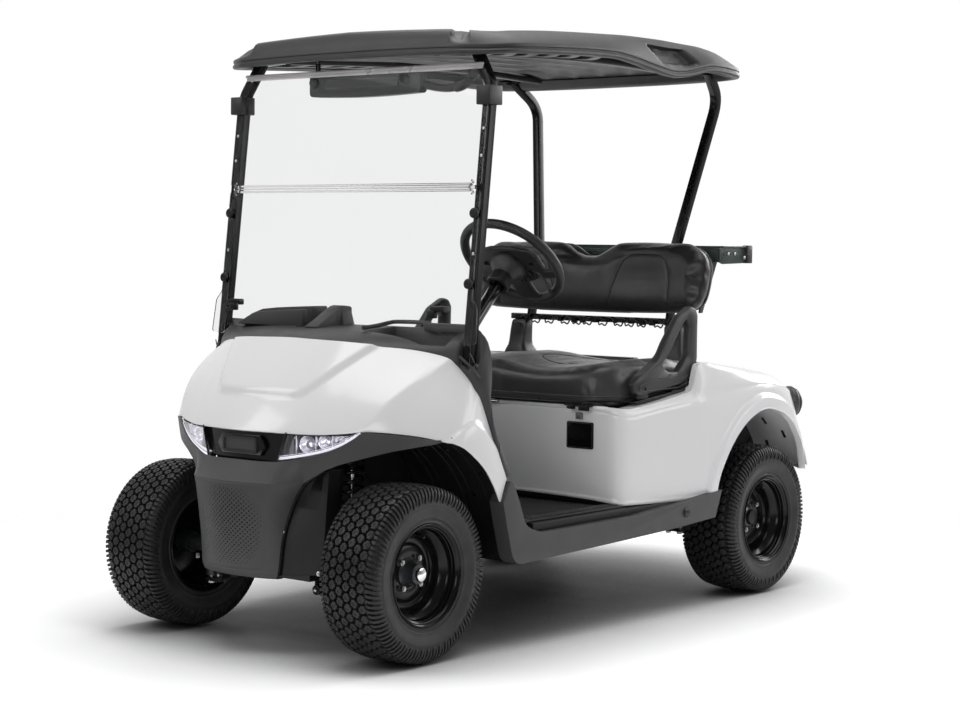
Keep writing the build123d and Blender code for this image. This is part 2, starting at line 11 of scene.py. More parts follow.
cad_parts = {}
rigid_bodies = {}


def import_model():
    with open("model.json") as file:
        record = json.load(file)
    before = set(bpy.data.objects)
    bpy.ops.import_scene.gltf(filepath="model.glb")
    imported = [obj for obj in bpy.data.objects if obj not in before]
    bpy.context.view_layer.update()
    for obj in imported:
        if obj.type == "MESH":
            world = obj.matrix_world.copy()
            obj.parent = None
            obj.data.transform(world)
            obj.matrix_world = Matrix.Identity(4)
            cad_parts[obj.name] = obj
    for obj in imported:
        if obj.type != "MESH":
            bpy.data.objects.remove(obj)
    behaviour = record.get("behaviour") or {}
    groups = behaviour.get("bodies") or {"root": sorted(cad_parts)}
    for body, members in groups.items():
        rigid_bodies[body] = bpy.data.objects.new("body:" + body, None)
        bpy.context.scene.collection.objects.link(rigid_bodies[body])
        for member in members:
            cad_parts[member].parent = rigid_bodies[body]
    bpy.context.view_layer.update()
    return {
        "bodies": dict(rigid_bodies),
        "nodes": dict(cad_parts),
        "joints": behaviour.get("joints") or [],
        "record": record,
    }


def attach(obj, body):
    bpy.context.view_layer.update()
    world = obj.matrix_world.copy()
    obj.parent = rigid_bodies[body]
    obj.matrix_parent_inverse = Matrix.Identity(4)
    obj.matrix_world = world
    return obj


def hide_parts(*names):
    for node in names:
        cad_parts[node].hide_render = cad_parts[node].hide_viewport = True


# Golf cart. Lengths in this script are millimetres in the CAD frame: the cart faces -Y,
# its left side is +X and +Z is up. put() turns them into metres.
MM = 0.001
TURN = 2 * math.pi
SHARP_BEND = math.radians(30.0)
SHARP_RIM = math.radians(40)
UP = (0, 0, 1)

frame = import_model()
NODES = frame["nodes"]
scene = bpy.context.scene


# ---------------------------------------------------------------- shapes
# a shape is a pair: its points, and its faces as tuples of point numbers
def grid(rows, close_rows=False, close_cols=False):
    # rows of equally many points, joined by four-sided faces
    wide = len(rows[0])
    points = [Vector(p) for row in rows for p in row]
    faces = []
    for i in range(len(rows) - (0 if close_rows else 1)):
        for j in range(wide - (0 if close_cols else 1)):
            a, b = i * wide, ((i + 1) % len(rows)) * wide
            k = (j + 1) % wide
            faces.append((a + j, b + j, b + k, a + k))
    return points, faces


def join(*shapes):
    points, faces = [], []
    for more_points, more_faces in shapes:
        base = len(points)
        points += more_points
        faces += [tuple(base + i for i in face) for face in more_faces]
    return points, faces


def flip_x(shape):
    points, faces = shape
    return [Vector((-p.x, p.y, p.z)) for p in points], [tuple(reversed(f)) for f in faces]


def both_sides(shape):
    return join(shape, flip_x(shape))


def moved(shape, matrix):
    return [matrix @ p for p in shape[0]], shape[1]


def shifted(shape, x=0.0, y=0.0, z=0.0):
    return moved(shape, Matrix.Translation((x, y, z)))


def to_bmesh(shape):
    bm = bmesh.new()
    made = [bm.verts.new(p) for p in shape[0]]
    for face in shape[1]:
        try:
            bm.faces.new([made[i] for i in face])
        except ValueError:
            pass
    return bm


def from_bmesh(bm):
    bm.verts.index_update()
    shape = [v.co.copy() for v in bm.verts], [tuple(v.index for v in f.verts) for f in bm.faces]
    bm.free()
    return shape


def welded(shape, gap):
    bm = to_bmesh(shape)
    bmesh.ops.remove_doubles(bm, verts=bm.verts, dist=gap)
    bmesh.ops.recalc_face_normals(bm, faces=bm.faces)
    return bm


def bevel_edges(bm, edges, width, steps):
    bmesh.ops.bevel(bm, geom=edges, offset=width, offset_type="OFFSET", segments=steps, profile=0.5,
                    affect="EDGES", clamp_overlap=True)


def bevelled(shape, width, steps=2):
    bm = welded(shape, 0.001)
    sharp = [e for e in bm.edges if len(e.link_faces) == 2 and e.calc_face_angle(0) > SHARP_BEND]
    if width > 0 and sharp:
        bevel_edges(bm, sharp, width, steps)
    return from_bmesh(bm)


def thick(shape, depth, lip=1.2, steps=2):
    # an open sheet given a wall inward of its face normals, with its rim rounded
    bm = welded(shape, 0.01)
    bm.normal_update()
    rim = [e for e in bm.edges if len(e.link_faces) == 1]
    inner = {v: bm.verts.new(v.co - v.normal * depth) for v in list(bm.verts)}
    for face in list(bm.faces):
        bm.faces.new([inner[v] for v in reversed(face.verts)])
    sides = []
    for edge in rim:
        a, b = edge.verts
        if edge.link_loops and edge.link_loops[0].vert is a:
            a, b = b, a
        sides.append(bm.faces.new((a, b, inner[b], inner[a])))
    bmesh.ops.recalc_face_normals(bm, faces=bm.faces)
    if lip > 0:
        edges = list({e for f in sides for e in f.edges if e.calc_face_angle(0) > SHARP_RIM})
        bevel_edges(bm, edges, lip, steps)
    return from_bmesh(bm)


def box(x0, x1, y0, y1, z0, z1, edge=2.0, steps=2):
    points = [Vector((x, y, z)) for x in (x0, x1) for y in (y0, y1) for z in (z0, z1)]
    faces = [(0, 1, 3, 2), (4, 6, 7, 5), (0, 4, 5, 1), (2, 3, 7, 6), (0, 2, 6, 4), (1, 5, 7, 3)]
    return bevelled((points, faces), edge, steps)


def prism(outline, low, high, plane, edge=1.5, steps=2):
    # outline pairs lie in the plane "yz", "xz" or "xy", and the prism runs along the third axis
    def at(a, b, c):
        return Vector({"yz": (c, a, b), "xz": (a, c, b), "xy": (a, b, c)}[plane])

    n = len(outline)
    points = [at(a, b, low) for a, b in outline] + [at(a, b, high) for a, b in outline]
    faces = [tuple(range(n)), tuple(range(2 * n - 1, n - 1, -1))]
    faces += [(i, (i + 1) % n, n + (i + 1) % n, n + i) for i in range(n)]
    return bevelled((points, faces), edge, steps)


def frame_along(direction, up=UP):
    z = Vector(direction).normalized()
    x = Vector(up).cross(z)
    if x.length < 1e-4:
        x = Vector((1, 0, 0)).cross(z) if abs(z.x) < 0.9 else Vector((0, 1, 0)).cross(z)
    x.normalize()
    y = z.cross(x)
    return Matrix((x, y, z)).transposed().to_4x4()


def lathe(profile, start, direction, n=48, close=False):
    # profile pairs are (distance along, radius) about the axis from start
    turn = Matrix.Translation(start) @ frame_along(direction)
    rows = [[turn @ Vector((radius * math.cos(TURN * i / n), radius * math.sin(TURN * i / n),
                            along)) for i in range(n)] for along, radius in profile]
    return grid(rows, close_rows=close, close_cols=True)


def rod(start, end, radius, n=24, edge=1.0):
    start, end = Vector(start), Vector(end)
    length = (end - start).length
    e = min(edge, radius * 0.6, length * 0.4)
    profile = [(0, 0.01), (0, radius - e), (e * 0.3, radius - e * 0.3), (e, radius)]
    profile += [(length - e, radius), (length - e * 0.3, radius - e * 0.3), (length, radius - e),
                (length, 0.01)]
    return lathe(profile, start, end - start, n)


def ring(centre, normal, major, minor, n=64, m=16):
    profile = [(minor * math.sin(TURN * k / m), major + minor * math.cos(TURN * k / m))
               for k in range(m)]
    return lathe(profile, centre, normal, n, close=True)


def spline(points, steps):
    # a smooth curve through the points, evenly stepped in the point index (Catmull-Rom)
    pts = [Vector(p) for p in points]
    ext = [pts[0] * 2 - pts[1]] + pts + [pts[-1] * 2 - pts[-2]]
    out = []
    for k in range(steps + 1):
        t = k / steps * (len(pts) - 1)
        i = min(int(t), len(pts) - 2)
        f = t - i
        a, b, c, d = ext[i], ext[i + 1], ext[i + 2], ext[i + 3]
        out.append(0.5 * ((2 * b) + (c - a) * f + (2 * a - 5 * b + 4 * c - d) * f * f
                          + (3 * b - a - 3 * c + d) * f * f * f))
    return out


def even(points, count):
    # the same line with its points spread evenly along its length
    pts = [Vector(p) for p in points]
    lengths = [0.0]
    for a, b in zip(pts, pts[1:]):
        lengths.append(lengths[-1] + (b - a).length)
    out, i = [], 0
    for k in range(count):
        want = lengths[-1] * k / (count - 1)
        while i < len(pts) - 2 and lengths[i + 1] < want:
            i += 1
        span = max(lengths[i + 1] - lengths[i], 1e-9)
        out.append(pts[i].lerp(pts[i + 1], (want - lengths[i]) / span))
    return out


def curve_through(points, count):
    return even(spline(points, 12 * (len(points) - 1)), count)


def rounded(corners, radius, steps=6, closed=True):
    # the outline with each corner turned into an arc; radius may be a list
    n = len(corners)
    out = []
    for i, corner in enumerate(corners):
        r = radius[i] if isinstance(radius, (list, tuple)) else radius
        if (not closed and i in (0, n - 1)) or r <= 0:
            out.append(tuple(corner))
            continue
        c = Vector(corner)
        a, b = Vector(corners[i - 1]) - c, Vector(corners[(i + 1) % n]) - c
        half = a.angle(b) / 2
        reach = min(r / math.tan(half), a.length * 0.49, b.length * 0.49)
        start, end = c + a.normalized() * reach, c + b.normalized() * reach
        for k in range(steps + 1):
            t = k / steps
            out.append(tuple(start * (1 - t) ** 2 + c * 2 * t * (1 - t) + end * t * t))
    return out


def capped(rings, flip=False):
    # rings of points joined into a tube with both ends filled
    points, faces = grid(rings, close_cols=True)
    m, n = len(rings[0]), len(points)
    ends = [tuple(range(m)), tuple(range(n - 1, n - m - 1, -1))]
    if flip:
        ends = [tuple(reversed(end)) for end in reversed(ends)]
    return points, faces + ends


def sweep(path, section, up=UP, closed=False):
    # section pairs are (sideways, up) about the path
    pts = [Vector(p) for p in path]
    n = len(pts)
    rows = []
    for i, p in enumerate(pts):
        ahead = pts[(i + 1) % n] if closed or i < n - 1 else pts[i]
        behind = pts[i - 1] if closed or i > 0 else pts[i]
        turn = frame_along(ahead - behind, up)
        rows.append([p + turn @ Vector((a, b, 0)) for a, b in section])
    return grid(rows, close_rows=True, close_cols=True) if closed else capped(rows)


def circle_section(radius, n=12):
    return [(radius * math.cos(TURN * k / n), radius * math.sin(TURN * k / n)) for k in range(n)]


def box_section(wide, deep, corner=4.0, steps=3):
    return plate(-wide / 2, wide / 2, -deep / 2, deep / 2, corner, steps)


def tube(path, radius, n=12, closed=False):
    return sweep(path, circle_section(radius, n), closed=closed)


def bent(points, count, section):
    # a bar of the section along the curve through the points
    return sweep(curve_through(points, count), section)


def plate(x0, x1, y0, y1, radius, steps):
    # a rectangle's outline with rounded corners
    return rounded([(x0, y0), (x1, y0), (x1, y1), (x0, y1)], radius, steps)


# ---------------------------------------------------------------- pieces
def put(name, parts, body, replaces=None, smooth=38.0):
    # parts is a list of (shape, material); each shape keeps its own material in the one piece.
    # replaces names the CAD node that the piece stands in for, and edges that bend by more than
    # smooth degrees stay crisp
    points, faces, which, mats = [], [], [], []
    for shape, mat in parts:
        base = len(points)
        points += [p * MM for p in shape[0]]
        faces += [tuple(base + i for i in f) for f in shape[1]]
        if mat not in mats:
            mats.append(mat)
        which += [mats.index(mat)] * len(shape[1])
    mesh = bpy.data.meshes.new(name)
    mesh.from_pydata(points, [], faces)
    for mat in mats:
        mesh.materials.append(mat)
    mesh.polygons.foreach_set("material_index", which)
    bm = bmesh.new()
    bm.from_mesh(mesh)
    bmesh.ops.remove_doubles(bm, verts=bm.verts, dist=2e-6)
    bmesh.ops.dissolve_degenerate(bm, edges=bm.edges, dist=1e-7)
    bmesh.ops.recalc_face_normals(bm, faces=bm.faces)
    for face in bm.faces:
        face.smooth = True
    for edge in bm.edges:
        edge.smooth = len(edge.link_faces) == 2 and edge.calc_face_angle(0) < math.radians(smooth)
    bm.to_mesh(mesh)
    bm.free()
    piece = bpy.data.objects.new(name, mesh)
    scene.collection.objects.link(piece)
    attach(piece, body)
    if replaces:
        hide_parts(replaces)
    return piece


def on_both_sides(*parts):
    return [(both_sides(shape), mat) for shape, mat in parts]


# ---------------------------------------------------------------- materials
def node_of(tree, kind, inputs=(), operation=None):
    # a shader node; inputs pairs are (socket, its value or the output that feeds it)
    node = tree.nodes.new(kind)
    if operation:
        node.operation = operation
    for socket, value in inputs:
        if isinstance(value, bpy.types.NodeSocket):
            tree.links.new(value, node.inputs[socket])
        else:
            node.inputs[socket].default_value = value
    return node


def texture(tree, kind, scale, detail, roughness, stretch):
    coords = node_of(tree, "ShaderNodeTexCoord").outputs["Object"]
    mapping = node_of(tree, "ShaderNodeMapping", [("Scale", stretch), ("Vector", coords)])
    place = mapping.outputs["Vector"]
    if kind == "cells":
        return node_of(tree, "ShaderNodeTexVoronoi",
                       [("Scale", scale), ("Vector", place)]).outputs["Distance"]
    inputs = [("Scale", scale), ("Detail", detail), ("Roughness", roughness), ("Vector", place)]
    return node_of(tree, "ShaderNodeTexNoise", inputs).outputs["Fac"]


def ramp(tree, value, low, high, out_low, out_high):
    inputs = [("From Min", low), ("From Max", high), ("To Min", out_low), ("To Max", out_high),
              ("Value", value)]
    return node_of(tree, "ShaderNodeMapRange", inputs).outputs["Result"]


def blend_colours(tree, factor, first, second):
    node = tree.nodes.new("ShaderNodeMix")
    node.data_type = "RGBA"
    node.inputs["A"].default_value = (*first, 1)
    node.inputs["B"].default_value = (*second, 1)
    tree.links.new(factor, node.inputs["Factor"])
    return node.outputs["Result"]


def material(name, colour, rough, metal=0.0, mottle=(3.0, 0.10), rough_vary=(14.0, 0.05), grain=(),
             stretch=(1, 1, 1), **sockets):
    # mottle and rough_vary are (texture scale per metre, amount); grain rows are
    # (kind, scale per metre, strength, height in mm); sockets sets the shader's other inputs
    mat = bpy.data.materials.new(name)
    mat.use_nodes = True
    tree = mat.node_tree
    shader = tree.nodes["Principled BSDF"]
    shader.inputs["Metallic"].default_value = metal
    for socket, value in sockets.items():
        shader.inputs[socket.replace("_", " ")].default_value = value
    scale, amount = mottle
    factor = ramp(tree, texture(tree, "noise", scale, 5.0, 0.6, stretch), 0.3, 0.7, 0, 1)
    low, high = [c * (1 - amount) for c in colour], [min(c * (1 + amount), 1) for c in colour]
    tree.links.new(blend_colours(tree, factor, low, high), shader.inputs["Base Color"])
    scale, amount = rough_vary
    vary = ramp(tree, texture(tree, "noise", scale, 4.0, 0.6, stretch), 0.3, 0.7,
                max(rough - amount, 0.02), rough + amount)
    tree.links.new(vary, shader.inputs["Roughness"])
    normal = []
    for kind, scale, strength, height in grain:
        bumps = texture(tree, kind, scale, 2.0, 0.5, stretch)
        inputs = [("Strength", strength), ("Distance", height * MM), ("Height", bumps)] + normal
        normal = [("Normal", node_of(tree, "ShaderNodeBump", inputs).outputs["Normal"])]
    for socket, value in normal:
        tree.links.new(value, shader.inputs[socket])
    return mat


LEATHER = (("cells", 520, 0.35, 0.35), ("noise", 1500, 0.25, 0.15))
PEBBLE = (("cells", 900, 0.45, 0.22), ("noise", 2200, 0.2, 0.1))
PEEL = (("noise", 260, 0.02, 0.1),)
FINE = (("noise", 2600, 0.3, 0.1),)
CAST = (("noise", 420, 0.45, 0.5), ("noise", 1800, 0.3, 0.15))

white_paint = material("white_paint", (0.87, 0.864, 0.872), 0.2, mottle=(1.4, 0.012),
                       rough_vary=(9, 0.03), grain=PEEL, Coat_Weight=0.35, Coat_Roughness=0.06)
grey_plastic = material("grey_plastic", (0.052, 0.050, 0.052), 0.5, mottle=(5, 0.07), grain=PEBBLE)
roof_plastic = material("roof_plastic", (0.030, 0.0295, 0.031), 0.44, mottle=(4, 0.08),
                        grain=PEBBLE)
ceiling_plastic = material("ceiling_plastic", (0.04, 0.039, 0.041), 0.36, Specular_IOR_Level=0.3,
                           mottle=(4, 0.08), grain=FINE)
dash_plastic = material("dash_plastic", (0.048, 0.047, 0.049), 0.5, mottle=(6, 0.12), grain=PEBBLE,
                        stretch=(1, 1, 0.6))
black_plastic = material("black_plastic", (0.009, 0.009, 0.0094), 0.4, Specular_IOR_Level=0.35,
                         mottle=(6, 0.2), grain=PEBBLE)
trim_plastic = material("trim_plastic", (0.030, 0.030, 0.031), 0.4, mottle=(6, 0.12), grain=PEBBLE)
gloss_black = material("gloss_black", (0.006, 0.006, 0.0065), 0.12, mottle=(8, 0.2),
                       rough_vary=(20, 0.03), grain=PEEL, Coat_Weight=0.5, Coat_Roughness=0.04)
wheel_black = material("wheel_black", (0.005, 0.005, 0.0055), 0.2, mottle=(9, 0.2),
                       rough_vary=(24, 0.06), grain=(("noise", 300, 0.06, 0.1),),
                       Specular_IOR_Level=0.26)
black_steel = material("black_steel", (0.007, 0.007, 0.0075), 0.2, mottle=(7, 0.2),
                       rough_vary=(18, 0.06), grain=(("noise", 700, 0.12, 0.08),),
                       Specular_IOR_Level=0.24)
chassis_steel = material("chassis_steel", (0.016, 0.016, 0.017), 0.45, mottle=(9, 0.3),
                         rough_vary=(16, 0.1), grain=CAST)
black_vinyl = material("black_vinyl", (0.018, 0.0178, 0.0182), 0.34, mottle=(9, 0.16),
                       rough_vary=(30, 0.06), grain=LEATHER, Sheen_Weight=0.25, Sheen_Roughness=0.4)
seam_thread = material("seam_thread", (0.009, 0.009, 0.009), 0.6,
                       grain=(("noise", 1800, 0.5, 0.3),))
tyre_rubber = material("tyre_rubber", (0.022, 0.0218, 0.0216), 0.5, Specular_IOR_Level=0.4,
                       mottle=(16, 0.35), rough_vary=(22, 0.08), grain=(("noise", 900, 0.25, 0.2),))
tread_rubber = material("tread_rubber", (0.019, 0.0186, 0.0184), 0.45, Specular_IOR_Level=0.35,
                        mottle=(60, 0.4), rough_vary=(80, 0.1), grain=(("noise", 1100, 0.4, 0.3),))
# near-black rubber for the bottoms of the tread grooves: painted shade in the tread's recesses
groove_shade_rubber = material("groove_shade_rubber", (0.0015, 0.0015, 0.0015), 0.85, Specular_IOR_Level=0.15,
                         mottle=(30, 0.4), grain=(("noise", 900, 0.4, 0.3),))
grip_rubber = material("grip_rubber", (0.018, 0.018, 0.0185), 0.5, mottle=(12, 0.15), grain=PEBBLE)
mat_rubber = material("mat_rubber", (0.006, 0.006, 0.0063), 0.5, Specular_IOR_Level=0.3,
                      mottle=(20, 0.3), grain=FINE)
# a near-white, part-clear strip: painted highlight along the upper pane's top edge
painted_highlight_strip = material("painted_highlight_strip", (0.8, 0.77, 0.79), 0.3, mottle=(6, 0.06), grain=FINE,
                        Transmission_Weight=0.35)
# the backrest's black vinyl made lighter and given more sheen for the cushion: painted sheen of
# grazing light on the cushion top
painted_sheen_vinyl = material("painted_sheen_vinyl", (0.046, 0.0454, 0.0464), 0.33, mottle=(9, 0.16),
                         rough_vary=(30, 0.06), grain=LEATHER, Sheen_Weight=0.4,
                         Sheen_Roughness=0.35)
inner_white = material("inner_white", (0.62, 0.615, 0.62), 0.45, mottle=(3, 0.05), grain=PEEL)
liner_plastic = material("liner_plastic", (0.16, 0.16, 0.165), 0.4, mottle=(4, 0.1), grain=PEEL)
zinc_steel = material("zinc_steel", (0.45, 0.45, 0.43), 0.3, 1.0, mottle=(40, 0.25),
                      rough_vary=(60, 0.1), grain=(("noise", 900, 0.2, 0.1),))
chrome = material("chrome", (0.8, 0.8, 0.81), 0.12, 1.0, mottle=(30, 0.06), rough_vary=(50, 0.05),
                  grain=PEEL)
cast_metal = material("cast_metal", (0.055, 0.062, 0.066), 0.42, 0.6, mottle=(25, 0.3),
                      rough_vary=(40, 0.1), grain=CAST)
rack_steel = material("rack_steel", (0.045, 0.062, 0.058), 0.38, 0.2, mottle=(14, 0.25),
                      rough_vary=(30, 0.08), grain=(("noise", 700, 0.12, 0.1),))
battery_case = material("battery_case", (0.03, 0.03, 0.032), 0.5, grain=FINE)


def clear_material(name, colour, rough, ior):
    return material(name, colour, rough, mottle=(2.0, 0.01), rough_vary=(6, 0.004),
                    grain=(("noise", 3, 0.02, 0.2),), Transmission_Weight=1.0, IOR=ior)


clear_pane = clear_material("clear_pane", (0.86, 0.865, 0.865), 0.008, 1.14)
pane_edge = clear_material("pane_edge", (0.72, 0.71, 0.72), 0.12, 1.3)
lamp_lens = clear_material("lamp_lens", (0.97, 0.97, 1.0), 0.01, 1.45)


# ---------------------------------------------------------------- stage, lamps and camera
# metres here
FLOOR_HALF = 14.0
FADE_NEAR, FADE_FAR = 1.9, 2.7
FLOOR_Z = -0.0006
WORLD_LIGHT = 0.10
WORLD_COLOUR = (0.97, 0.98, 1.0, 1)
BEHIND = (-0.628, 0.778, 0.0)
GLOSS_FRONT, GLOSS_BACK = 0.08, 0.9
SHADOW_REACH = 0.75
FLOOR_WHITE = (1.42, 1.42, 1.43)
FLOOR_SHADE = (0.05, 0.05, 0.05)


def camera_white(tree):
    # 1 for rays that show the background, 0 for rays that light the object
    rays = node_of(tree, "ShaderNodeLightPath").outputs
    first = node_of(tree, "ShaderNodeMath", [(0, rays["Is Camera Ray"]),
                                             (1, rays["Is Transmission Ray"])], operation="MAXIMUM")
    # gloss shows the white background too, most of all the side that stands behind the cart
    way = node_of(tree, "ShaderNodeTexCoord").outputs["Generated"]
    facing = node_of(tree, "ShaderNodeVectorMath", [(0, way), (1, BEHIND)], operation="DOT_PRODUCT")
    share = ramp(tree, facing.outputs["Value"], -0.1, 0.8, GLOSS_FRONT, GLOSS_BACK)
    gloss = node_of(tree, "ShaderNodeMath", [(0, rays["Is Glossy Ray"]), (1, share)],
                    operation="MULTIPLY")
    both = node_of(tree, "ShaderNodeMath", [(0, first.outputs[0]), (1, gloss.outputs[0])],
                   operation="MAXIMUM")
    return both.outputs[0]


def make_world():
    world = bpy.data.worlds.new("studio")
    scene.world = world
    world.use_nodes = True
    tree = world.node_tree
    tree.nodes.clear()
    shown = node_of(tree, "ShaderNodeBackground", [("Color", (1, 1, 1, 1)), ("Strength", 1.0)])
    light = node_of(tree, "ShaderNodeBackground",
                    [("Color", WORLD_COLOUR), ("Strength", WORLD_LIGHT)])
    mix = node_of(tree, "ShaderNodeMixShader", [("Fac", camera_white(tree)), (1, light.outputs[0]),
                                                (2, shown.outputs[0])])
    node_of(tree, "ShaderNodeOutputWorld", [("Surface", mix.outputs[0])])


def make_floor():
    mesh = bpy.data.meshes.new("studio_floor")
    h = FLOOR_HALF
    mesh.from_pydata([(-h, -h, FLOOR_Z), (h, -h, FLOOR_Z), (h, h, FLOOR_Z), (-h, h, FLOOR_Z)], [],
                     [(0, 1, 2, 3)])
    floor = bpy.data.objects.new("studio_floor", mesh)
    scene.collection.objects.link(floor)
    mat = bpy.data.materials.new("floor_white")
    mat.use_nodes = True
    tree = mat.node_tree
    shader = tree.nodes["Principled BSDF"]
    # the white floor's colour is darkened by ambient occlusion: painted shadow under and beside the
    # cart
    closeness = node_of(tree, "ShaderNodeAmbientOcclusion", [("Distance", SHADOW_REACH)])
    closeness.samples = 12
    depth = ramp(tree, closeness.outputs["AO"], 0.1, 0.96, 0, 1)
    tree.links.new(blend_colours(tree, depth, FLOOR_SHADE, FLOOR_WHITE),
                   shader.inputs["Base Color"])
    shader.inputs["Roughness"].default_value = 0.55
    shader.inputs["Specular IOR Level"].default_value = 0.2
    # further out it fades into the background
    place = node_of(tree, "ShaderNodeTexCoord").outputs["Object"]
    length = node_of(tree, "ShaderNodeVectorMath", [(0, place)], operation="LENGTH")
    fade = ramp(tree, length.outputs["Value"], FADE_NEAR, FADE_FAR, 0, 1)
    clear = node_of(tree, "ShaderNodeBsdfTransparent")
    mix = node_of(tree, "ShaderNodeMixShader", [("Fac", fade), (1, shader.outputs[0]),
                                                (2, clear.outputs[0])])
    tree.links.new(mix.outputs[0], tree.nodes["Material Output"].inputs["Surface"])
    mesh.materials.append(mat)


def aim(thing, place, target):
    thing.location = Vector(place)
    thing.rotation_euler = (Vector(target) - Vector(place)).to_track_quat("-Z", "Y").to_euler()


def area_lamp(name, place, target, size, watts):
    data = bpy.data.lights.new(name, "AREA")
    data.shape = "RECTANGLE"
    data.size, data.size_y = size
    data.energy = watts
    lamp = bpy.data.objects.new(name, data)
    scene.collection.objects.link(lamp)
    aim(lamp, place, target)


CAMERA_PLACE = Vector((4.0704, -5.1114, 1.1410))
CAMERA_YAW, CAMERA_PITCH, CAMERA_ROLL = 38.893, -3.208, 0.729
CAMERA_LENS, CAMERA_SENSOR = 76.51, 36


def make_camera():
    yaw, pitch, roll = (math.radians(a) for a in (CAMERA_YAW, CAMERA_PITCH, CAMERA_ROLL))
    ahead = Vector((-math.sin(yaw) * math.cos(pitch), math.cos(yaw) * math.cos(pitch),
                    math.sin(pitch)))
    right = Vector((math.cos(yaw), math.sin(yaw), 0))
    up = right.cross(ahead)
    level_right = right * math.cos(roll) + up * math.sin(roll)
    level_up = up * math.cos(roll) - right * math.sin(roll)
    data = bpy.data.cameras.new("camera")
    data.sensor_width = CAMERA_SENSOR
    data.lens = CAMERA_LENS
    data.clip_end = 60
    camera = bpy.data.objects.new("camera", data)
    scene.collection.objects.link(camera)
    turn = Matrix((level_right, level_up, -ahead)).transposed().to_4x4()
    camera.matrix_world = Matrix.Translation(CAMERA_PLACE) @ turn
    scene.camera = camera


make_world()
make_floor()
area_lamp("overhead", (0.2, -0.3, 4.6), (0, 0, 0.6), (4.0, 4.4), 172)
area_lamp("key", (-3.2, -4.8, 4.2), (0, -0.4, 0.8), (3.0, 2.6), 70)
area_lamp("fill", (4.7, 2.9, 2.3), (0, 0.5, 0.6), (3.0, 2.4), 50)
area_lamp("camera_side", (2.6, -6.0, 1.7), (0, -0.4, 0.5), (3.4, 1.8), 66)
area_lamp("back", (1.0, 5.6, 3.0), (0, 0.4, 0.8), (4.0, 2.4), 150)
make_camera()
scene.view_settings.view_transform = "Standard"


# ---------------------------------------------------------------- finishes of the CAD nodes
NODE_FINISH = {white_paint: "front_cowl rear_body", grey_plastic: "bumper_cowl rockers",
               lamp_lens: "headlamps", clear_pane: "windscreen_lower windscreen_upper",
               pane_edge: "windscreen_rail", roof_plastic: "roof", dash_plastic: "dashboard",
               gloss_black: "light_panel cabin_mirror", mat_rubber: "floor_pan",
               black_plastic: "front_wheel_liners bagwell seat_base rear_bumper tail_lamps",
               liner_plastic: "rear_wheel_liners", trim_plastic: "hip_restraints seat_supports",
               black_vinyl: "seat_cushion seat_back", grip_rubber: "steering_wheel",
               black_steel: "front_struts rear_struts seat_back_frame steering_column pedals",
               chassis_steel: "chassis_frame front_suspension front_shocks rear_springs",
               battery_case: "battery_pack", rack_steel: "bag_rack", zinc_steel: "track_rod",
               cast_metal: "rear_axle knuckle_left knuckle_right",}
for node_finish, node_names in NODE_FINISH.items():
    for node_name in node_names.split():
        shown_materials = NODES[node_name].data.materials
        shown_materials.clear()
        shown_materials.append(node_finish)
# ---------------------------------------------------------------- wheels
WHEEL_R = 246.0
FRONT_WHEEL = (431.0, -925.0)
REAR_WHEEL = (489.0, 745.0)
BLOCK_ROWS = (-62.5, -37.5, -12.5, 12.5, 37.5, 62.5)
BLOCKS_AROUND = 52
LUGS_AROUND = 104
TREAD_DEPTH = 8.5
STUD_CIRCLE = 50.8
STUDS = 4
WHEEL_AXIS = ((0, 0, 0), (1, 0, 0))


def at_wheel(x, radius, angle):
    return Vector((x, radius * math.cos(angle), radius * math.sin(angle)))


def crown(x):
    # outer radius of the tread at x across the tyre
    edge = max(abs(x) - 58, 0)
    return WHEEL_R - 0.0006 * x * x - 0.0095 * edge * edge


def tread_block(x, angle, half_wide, half_long, spin):
    # a chamfered block with waisted corners and a cross-shaped dip in its face
    outline = [(1, 0.42), (0.62, 0.55), (0.5, 1), (-0.5, 1), (-0.62, 0.55), (-1, 0.42)]
    outline += [(-a, -b) for a, b in outline]
    levels = [(1.0, TREAD_DEPTH + 1), (0.97, 1.3), (0.88, 0.15), (0.40, 0.0), (0.32, 1.5)]
    rows = []
    for scale, down in levels:
        row = []
        for a, b in outline:
            a, b = a * half_wide * scale, b * half_long * scale
            across = a * math.cos(spin) - b * math.sin(spin)
            along = a * math.sin(spin) + b * math.cos(spin)
            row.append(at_wheel(x + across, crown(x + across) - down, angle + along / WHEEL_R))
        rows.append(row)
    points, faces = grid(rows, close_cols=True)
    return points, faces + [tuple(range(len(points) - len(outline), len(points)))]


def shoulder_lug(side, angle, half_long, length):
    # a bar that runs over the shoulder and down the sidewall
    path = [(76, crown(76)), (87, 239), (95.5, 230), (100.5, 218), (102.0, 206), (101.0, 196)]
    rows = []
    for k, (x, r) in enumerate(path):
        fade = max(1 - max(k - length + 1, 0) * 0.5, 0.12)
        low_x, low_r = x - 7.5 * (k / 5 * 0.75 + 0.25), r - TREAD_DEPTH * (1 - k / 7)
        wide = half_long * (1 - 0.05 * k)
        skew = 0.012 * k
        row = []
        for px, pr, side_step in ((low_x, low_r, -1.05), (x, r, -0.85), (x, r, 0.85),
                                  (low_x, low_r, 1.05)):
            px, pr = low_x + (px - low_x) * fade, low_r + (pr - low_r) * fade
            row.append(at_wheel(side * px, pr, angle + skew + side_step * wide / WHEEL_R))
        rows.append(row)
    points, faces = grid(rows[:length + 1])
    m = len(points)
    return points, faces + [(0, 1, 2, 3), (m - 1, m - 2, m - 3, m - 4)]


